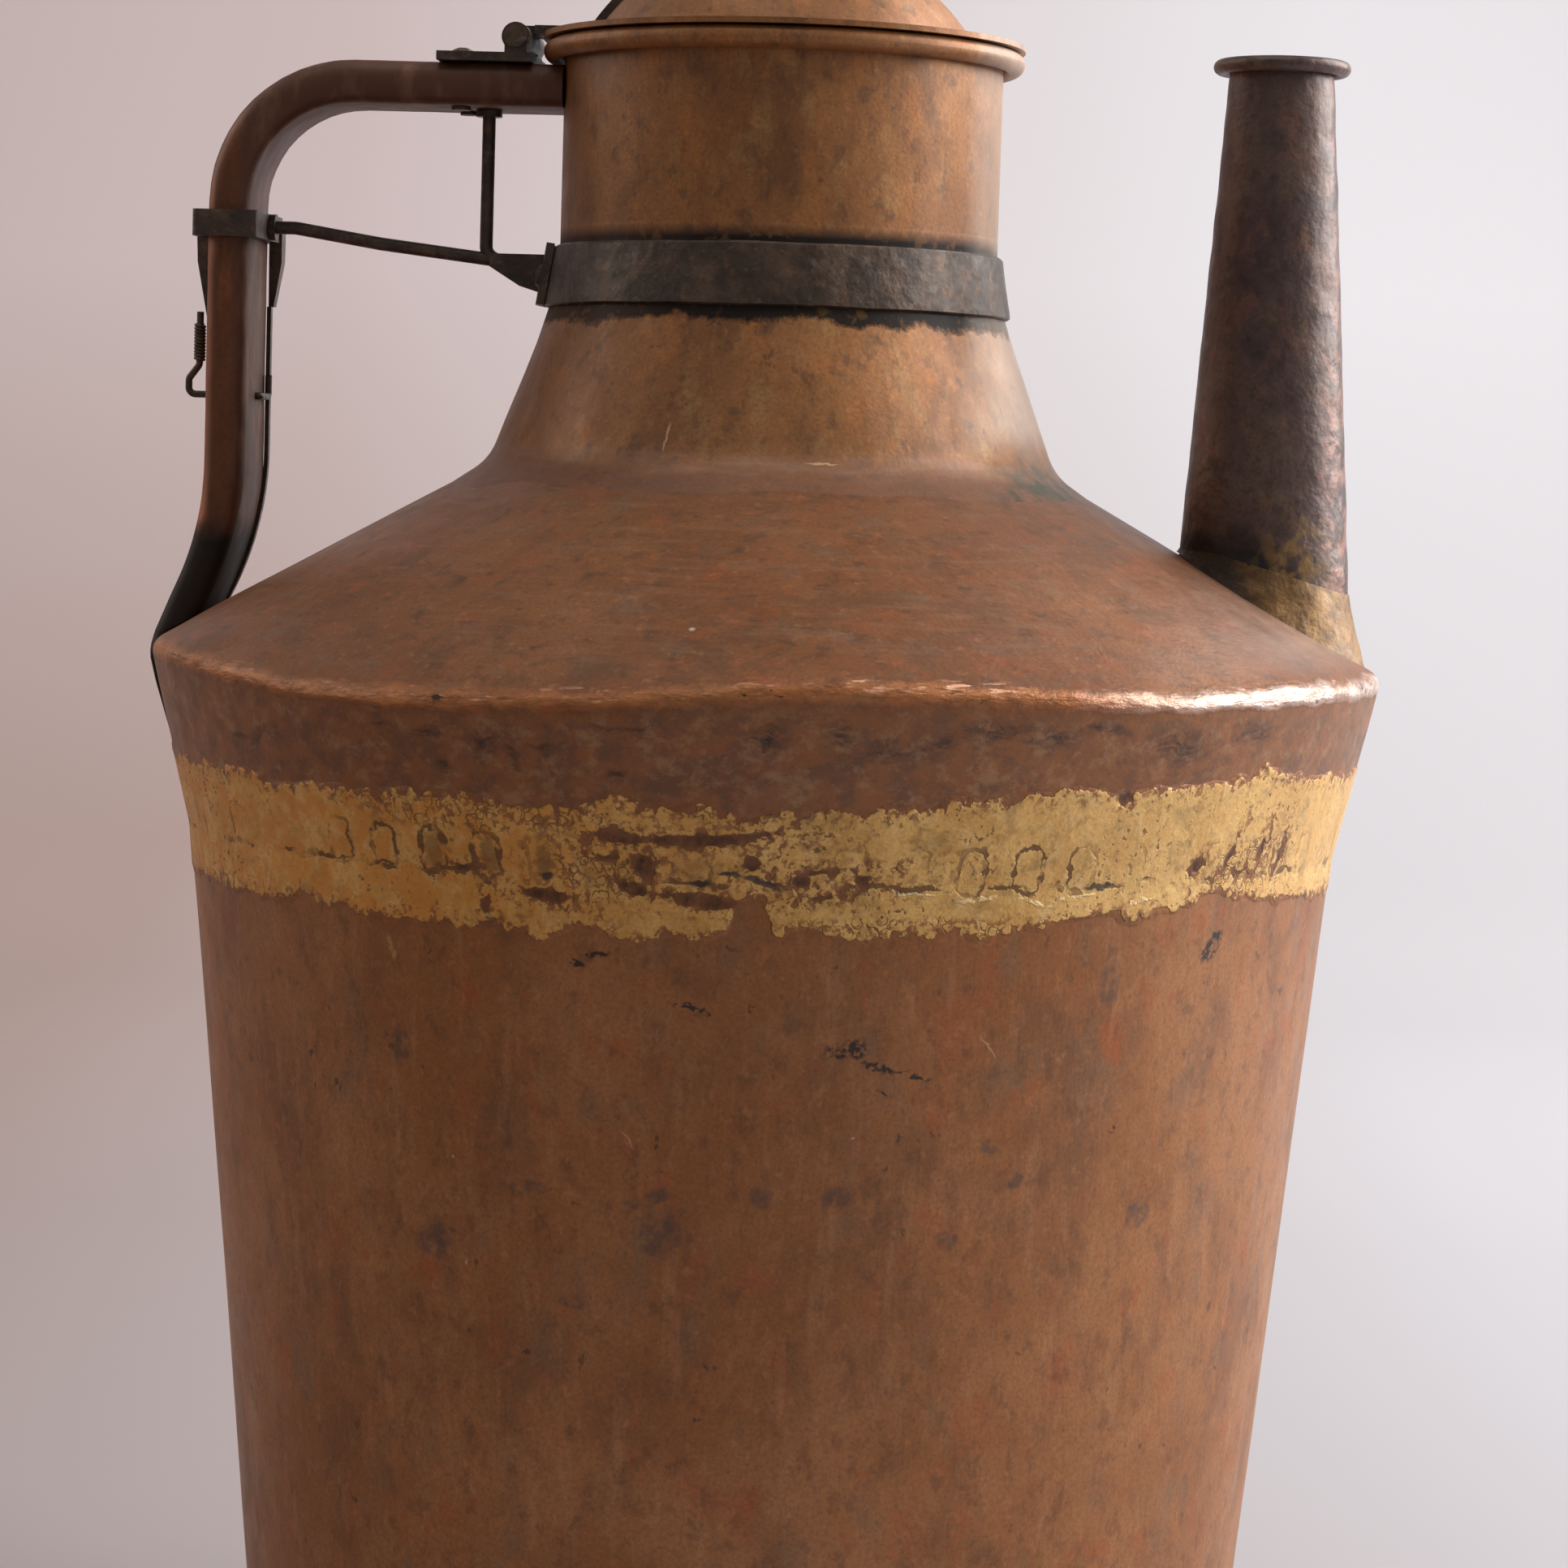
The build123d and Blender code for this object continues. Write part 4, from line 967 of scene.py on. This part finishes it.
handle_finish = metal("handle_copper", handle_tint)
handle_corners = [
    (-handle_start, handle_top),
    (-handle_outer_reach, handle_top),
    (-handle_outer_reach, handle_bend_height),
    (-handle_foot_reach, handle_foot_height),
    (-tail_reach, tail_end),
]
handle_line = spaced(rounded(handle_corners, [0.033, 0.065, 0.010], 12), 0.0016)
handle_way = np.gradient(handle_line, axis=0)
handle_way /= np.linalg.norm(handle_way, axis=1)[:, None]
handle_in = np.stack([-handle_way[:, 1], handle_way[:, 0]], axis=1)
bar_height = handle_line[:, 1]
top_half = np.arange(len(bar_height)) < len(bar_height) / 2
width_places = [tail_end, 0.2385, 0.2568, 0.270, 0.290]
width = np.interp(bar_height, width_places, [0.004, 0.009, 0.024, 0.027, handle_width])
width = np.where(top_half, handle_width, width)
thickness_places = [0.262, 0.2665, 0.285, 0.305]
thickness = np.interp(bar_height, thickness_places, [0.0020, 0.0088, 0.0090, handle_thickness])
thickness = np.where(top_half, handle_thickness, thickness)
bar_rows = []
for place, inward, deep, wide in zip(handle_line, handle_in, thickness, width):
    half = wide / 2
    section = [(0, 0), (0, half), (deep, half), (deep, -half), (0, -half), (0, 0)]
    section = rounded(section, [0.44 * deep, 0.34 * deep, 0.34 * deep, 0.44 * deep], 4)[:-1]
    bar_rows.append([(place[0] + inward[0] * d, y, place[1] + inward[1] * d) for d, y in section])
bar_points = np.array(bar_rows)
bar_centre = bar_points.mean(axis=1, keepdims=True)
bar_dent = 0.012 * (1 + lumps(bar_points, 0.018, 17)) + 0.008 * (1 + lumps(bar_points, 0.006, 18))
bar_points += (bar_centre - bar_points) * bar_dent[..., None]
bar_reach = np.hypot(bar_points[..., 0], bar_points[..., 1])
scribed = (bar_height[:, None] > 0.262) & (bar_reach < rim_radius - 0.002)
bar_floor = np.where(scribed, cone_height(bar_reach), 0)
bar_points[..., 2] = np.maximum(bar_points[..., 2], bar_floor)
fit("handle_bar", loft(bar_points, False, True), handle_finish, "copper", "handle")
dress(["tail_rivets"], handle_finish)


# Iron fittings of the handle
# A clasp round the handle takes the arm's end. A wire hangs from its tail, goes through the
# handle and is clenched inside, where a dark strip runs down the far edge.
coil_radius = 0.0014
coil_wire = 0.00038
coil_length = 0.009
dress(["handle_seam", "handle_clasp", "handle_wire"], iron_finish)
coil_low, coil_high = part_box("wire_coil")


def coil_turns(tree, given):
    """Nodes that wind a close coil of wire upwards from the origin."""
    winding = {
        "Resolution": 20,
        "Rotations": given["Turns"],
        "Start Radius": given["Radius"],
        "End Radius": given["Radius"],
        "Height": given["Length"],
    }
    helix = add(tree, "GeometryNodeCurveSpiral", winding)
    wire = {"Resolution": 10, "Radius": given["Wire"]}
    round_wire = add(tree, "GeometryNodeCurvePrimitiveCircle", wire)
    wound = {"Curve": helix, "Profile Curve": round_wire, "Fill Caps": True}
    return add(tree, "GeometryNodeCurveToMesh", wound)


coil_sizes = {
    "Turns": coil_length / (2 * coil_wire) - 1,
    "Radius": coil_radius - coil_wire,
    "Wire": coil_wire,
    "Length": coil_length - 2 * coil_wire,
}
coil_mesh = from_nodes("coil_turns", coil_turns, coil_sizes, iron_finish)
coil_centre = (coil_low + coil_high) / 2
for vertex in coil_mesh.vertices:
    vertex.co += Vector((coil_centre.x, coil_centre.y, coil_low.z + coil_wire))
fit("coil_turns", coil_mesh, iron_finish, "iron", "wire_coil")


# Spout
# A tapered tube of copper gone almost black, with scalloped hammer marks. Its foot is scribed
# to the shoulder's cone.
spout_reach = 0.113
spout_sheet = 0.0014
spout_foot_radius = 0.0211
spout_top_radius = 0.0118
spout_bottom = 0.262
spout_fall = (spout_foot_radius - spout_top_radius) / (mouth_top - rim_height)


def spout_tint(place):
    spout_coats = [
        ((100, 78, 68), 20, 0.42, 0.6, 1, 1.3),
        ((132, 86, 72), 9, 0.55, 0.66, 0.6, 1.5),
        ((52, 42, 42), 7, 0.53, 0.66, 0.6, 1),
        ((120, 92, 62), 5, 0.56, 0.68, 0.45, 1.2),
        ((44, 34, 32), 2.6, 0.55, 0.68, 0.5, 1),
        ((60, 46, 40), 0.8, 0.42, 0.72, 0.45, 1),
    ]
    x, _, z = parts(place)
    aside = x - (spout_reach - spout_foot_radius)
    foot = z - (0.2960 - aside * 0.26)
    shade = span(foot - cloud(place, 8, 124, 4) * 0.010, 0.003, -0.003)
    shade *= span(x, 0.122, 0.112, 0.35, 1)
    gilt = span(off(place, (0.120, -0.020, 0.2935)), 0.012, 0.004)
    gilt *= span(cloud(place, 4, 127, 5), 0.46, 0.6)
    # painted highlight: pinkish patches along the tube's right edge
    rosy_highlights = span(x, 0.1225, 0.1300) * span(cloud(place, 5, 128, 5), 0.46, 0.56)
    layers = [
        ((22, 18, 16), shade * 0.92),
        ((146, 112, 62), gilt * 0.7),
        ((176, 128, 110), rosy_highlights * 0.5),
    ]
    colour = painted(coated(place, (80, 60, 58), spout_coats, 121), layers)
    return colour, sheen(place, 6, 125, 0.36, 0.52, 4), cloud(place, 5, 126, 3) * 0.6


spout_finish = metal("spout_copper", spout_tint)
spout_low = spout_foot_radius + (rim_height - spout_bottom) * spout_fall
spout_line = spaced([(spout_low, spout_bottom), (spout_top_radius, mouth_top)], 0.0012)
spout_points = turned_points(walled(spout_line, spout_sheet, 0.012), 120)
spout_dents = 0.00022 * (1 + lumps(spout_points * (1, 1, 1.6), 0.010, 19))
spout_points = pressed(spout_points, spout_dents)
spout_points[..., 0] += spout_reach
under = cone_height(np.hypot(spout_points[..., 0], spout_points[..., 1])) - 0.0012
spout_points[..., 2] = np.maximum(spout_points[..., 2], under)
fit("spout_tube", loft(spout_points), spout_finish, "copper", "spout")
dress(["spout_lip"], spout_finish)


# Brass sleeve of the spout's foot
# Brazing metal that fills the corner between the tube and the cone: a sliver at the back, and
# a flared, golden wedge over the rim.
sleeve_mean, sleeve_lean = 0.0019, 0.0013
sleeve_top = [
    # x and height of its upper edge
    (0.0919, 0.2944), (0.1000, 0.2936), (0.1130, 0.2905), (0.1341, 0.2848), (0.1400, 0.2836),
]


def sleeve_tint(place):
    sleeve_coats = [
        ((146, 108, 60), 8, 0.42, 0.58, 1, 1),
        ((100, 72, 42), 4.5, 0.48, 0.64, 0.7, 1),
        ((170, 132, 80), 3, 0.56, 0.7, 0.45, 1),
        ((84, 60, 38), 1.8, 0.54, 0.66, 0.55, 1),
    ]
    # darker at the back and left, under the tube: partly stain and partly painted shadow
    stain_and_shadow = span(parts(place)[0] + cloud(place, 6, 145, 5) * 0.016, 0.124, 0.113)
    colour = coated(place, (124, 92, 52), sleeve_coats, 131)
    colour = over(colour, (34, 27, 22), stain_and_shadow * 0.92)
    return colour, sheen(place, 4, 133, 0.46, 0.62, 4), cloud(place, 3, 134, 5) * 0.6


sleeve_finish = metal("sleeve_brass", sleeve_tint)
sleeve_turns = 160
sleeve_rows = 14
sleeve_loops = []
for turn in range(sleeve_turns):
    angle = 2 * math.pi * turn / sleeve_turns
    outward = np.array([math.cos(angle), math.sin(angle)])
    foot_thick = sleeve_mean + sleeve_lean * math.cos(angle)
    rows = []
    for row in range(sleeve_rows + 1):
        share = row / sleeve_rows
        thick = foot_thick * (1 - share) ** 1.4 - 0.0001
        foot_spot = np.array([spout_reach, 0]) + outward * (spout_foot_radius + thick)
        low = cone_height(math.hypot(*foot_spot)) - 0.0006
        high = np.interp(foot_spot[0], *np.array(sleeve_top).T)
        rows.append((thick, low + max(high - low, 0.0008) * share))
    rows += [(-0.0008, rows[-1][1]), (-0.0008, rows[0][1])]
    loop = []
    for thick, height in rows:
        tube_radius = spout_foot_radius - (height - rim_height) * spout_fall
        loop.append((spout_reach, 0, height) + (tube_radius + thick) * np.array([*outward, 0]))
    sleeve_loops.append(loop)
sleeve_points = np.array(sleeve_loops)
sleeve_lumps = 0.0003 * lumps(sleeve_points, 0.005, 20)
sleeve_points = pressed(sleeve_points, -sleeve_lumps, spout_reach)
fit("sleeve_skin", loft(sleeve_points), sleeve_finish, "brass", "spout_sleeve")


# Lid
# A domed cover of copper sheet with a flat brim, a ring inside that centres it, a washer and
# a turned brass knob. It isn't in the photograph, so it has what such pitchers have.
dress(["lid", "lid_flange", "finial_washer"], neck_finish)
knob_coats = [
    ((204, 160, 96), 10, 0.4, 0.6, 1, 1),
    ((126, 92, 50), 5, 0.52, 0.66, 0.6, 1),
    ((228, 192, 132), 2.5, 0.56, 0.7, 0.4, 1),
]


def knob_tint(place):
    rough = sheen(place, 4, 172, 0.3, 0.46, 4)
    return coated(place, (178, 134, 76), knob_coats, 171), rough, rough * 0.4


knob_finish = metal("knob_brass", knob_tint)
dress(["lid_finial"], knob_finish)


# Hinge
# Forged iron: a plate on the handle's end, a leaf on the dome, the pin between them, and the
# rivets that hold both.
hinge_nodes = ["hinge_bracket", "bracket_rivets", "hinge_pin", "lid_leaf", "leaf_rivets"]
dress(hinge_nodes, iron_finish)


# Floor and backdrop
# One pale sheet that runs level under the pitcher and curves up behind it.
paper = bpy.data.materials.new("pale_paper")
paper.use_nodes = True
paper_tree = paper.node_tree
right, back, up = parts(add(paper_tree, "ShaderNodeTexCoord", {}, "Object"))
# painted light and shade: the paper is darker to the left and low down, and lighter to the right,
# further back and higher up
far_back = span(back, 0.7, 1.6)
high_up = span(up, 0.05, 0.45)
shaded_left_tone = painted((150, 132, 127), [((168, 148, 143), far_back), ((194, 180, 179), high_up)])
lit_right_tone = painted((182, 180, 184), [((194, 192, 195), far_back), ((212, 211, 214), high_up)])
paper_shader = paper_tree.nodes["Principled BSDF"].inputs
paper_colour_with_painted_light = over(shaded_left_tone, lit_right_tone, span(right, -0.5, 0.25))
paper_tree.links.new(paper_colour_with_painted_light.socket, paper_shader["Base Color"])
paper_shader["Roughness"].default_value = 0.9
paper_shader["Specular IOR Level"].default_value = 0.1
backdrop_line = rounded([(-3.0, 0.0), (2.4, 0.0), (2.4, 3.2)], [1.0], 24)
backdrop_mesh = bpy.data.meshes.new("backdrop")
backdrop_points = [(x, y, z) for x in (-5.0, 5.0) for y, z in backdrop_line]
half = len(backdrop_line)
backdrop_faces = [(k, half + k, half + k + 1, k + 1) for k in range(half - 1)]
backdrop_mesh.from_pydata(backdrop_points, [], backdrop_faces)
backdrop_mesh.shade_smooth()
backdrop = bpy.data.objects.new("backdrop", backdrop_mesh)
bpy.context.scene.collection.objects.link(backdrop)
backdrop_mesh.materials.append(paper)


# Light
# A tall window on the right, a little behind the pitcher, a weaker sheet on the left, and a
# dim room in front.
def window(name, place, aim, size, power, colour):
    light = bpy.data.lights.new(name, "AREA")
    light.shape = "RECTANGLE"
    light.size, light.size_y = size
    light.energy = power
    light.color = colour
    lamp = bpy.data.objects.new(name, light)
    lamp.location = place
    lamp.rotation_euler = (Vector(aim) - Vector(place)).to_track_quat("-Z", "Y").to_euler()
    bpy.context.scene.collection.objects.link(lamp)


window("window", (1.5, 0.45, 1.1), (0, 0, 0.25), (1.8, 1.6), 62, (1.0, 0.99, 0.98))
window("back_sheet", (0.2, 0.7, 1.9), (0.0, 2.4, 1.5), (2.6, 1.0), 26, (1.0, 0.98, 0.98))
window("left_sheet", (-1.8, 0.4, 1.2), (0, 0, 0.25), (1.4, 1.4), 10, (1.0, 0.94, 0.88))
window("ceiling", (-0.2, -0.4, 2.4), (0, 0, 0.25), (1.6, 1.6), 10, (1.0, 0.97, 0.93))
world = bpy.data.worlds.new("room")
world.use_nodes = True
room = world.node_tree.nodes["Background"].inputs
room["Color"].default_value = (0.9, 0.88, 0.88, 1)
room["Strength"].default_value = 0.26
bpy.context.scene.world = world
bpy.context.scene.view_settings.view_transform = "Standard"


# Camera
# Eye level is at the foot of the neck, nearly a metre away and a few degrees to the right of
# square on. The camera is tipped a little, because the pitcher leans in the photograph.
image_side = 1932
focal_pixels = 5058
eye = Vector((0.0661, -0.9447, 0.312))
aim = Vector((0.0049, 0.0003, 0.2369))
roll = math.radians(1.75)
camera_data = bpy.data.cameras.new("camera")
camera_data.sensor_width = 36
camera_data.lens = 36 * focal_pixels / image_side
camera_data.clip_end = 50
camera = bpy.data.objects.new("camera", camera_data)
camera.location = eye
look = (aim - eye).to_track_quat("-Z", "Y") @ Quaternion((0, 0, 1), roll)
camera.rotation_euler = look.to_euler()
bpy.context.scene.collection.objects.link(camera)
bpy.context.scene.camera = camera
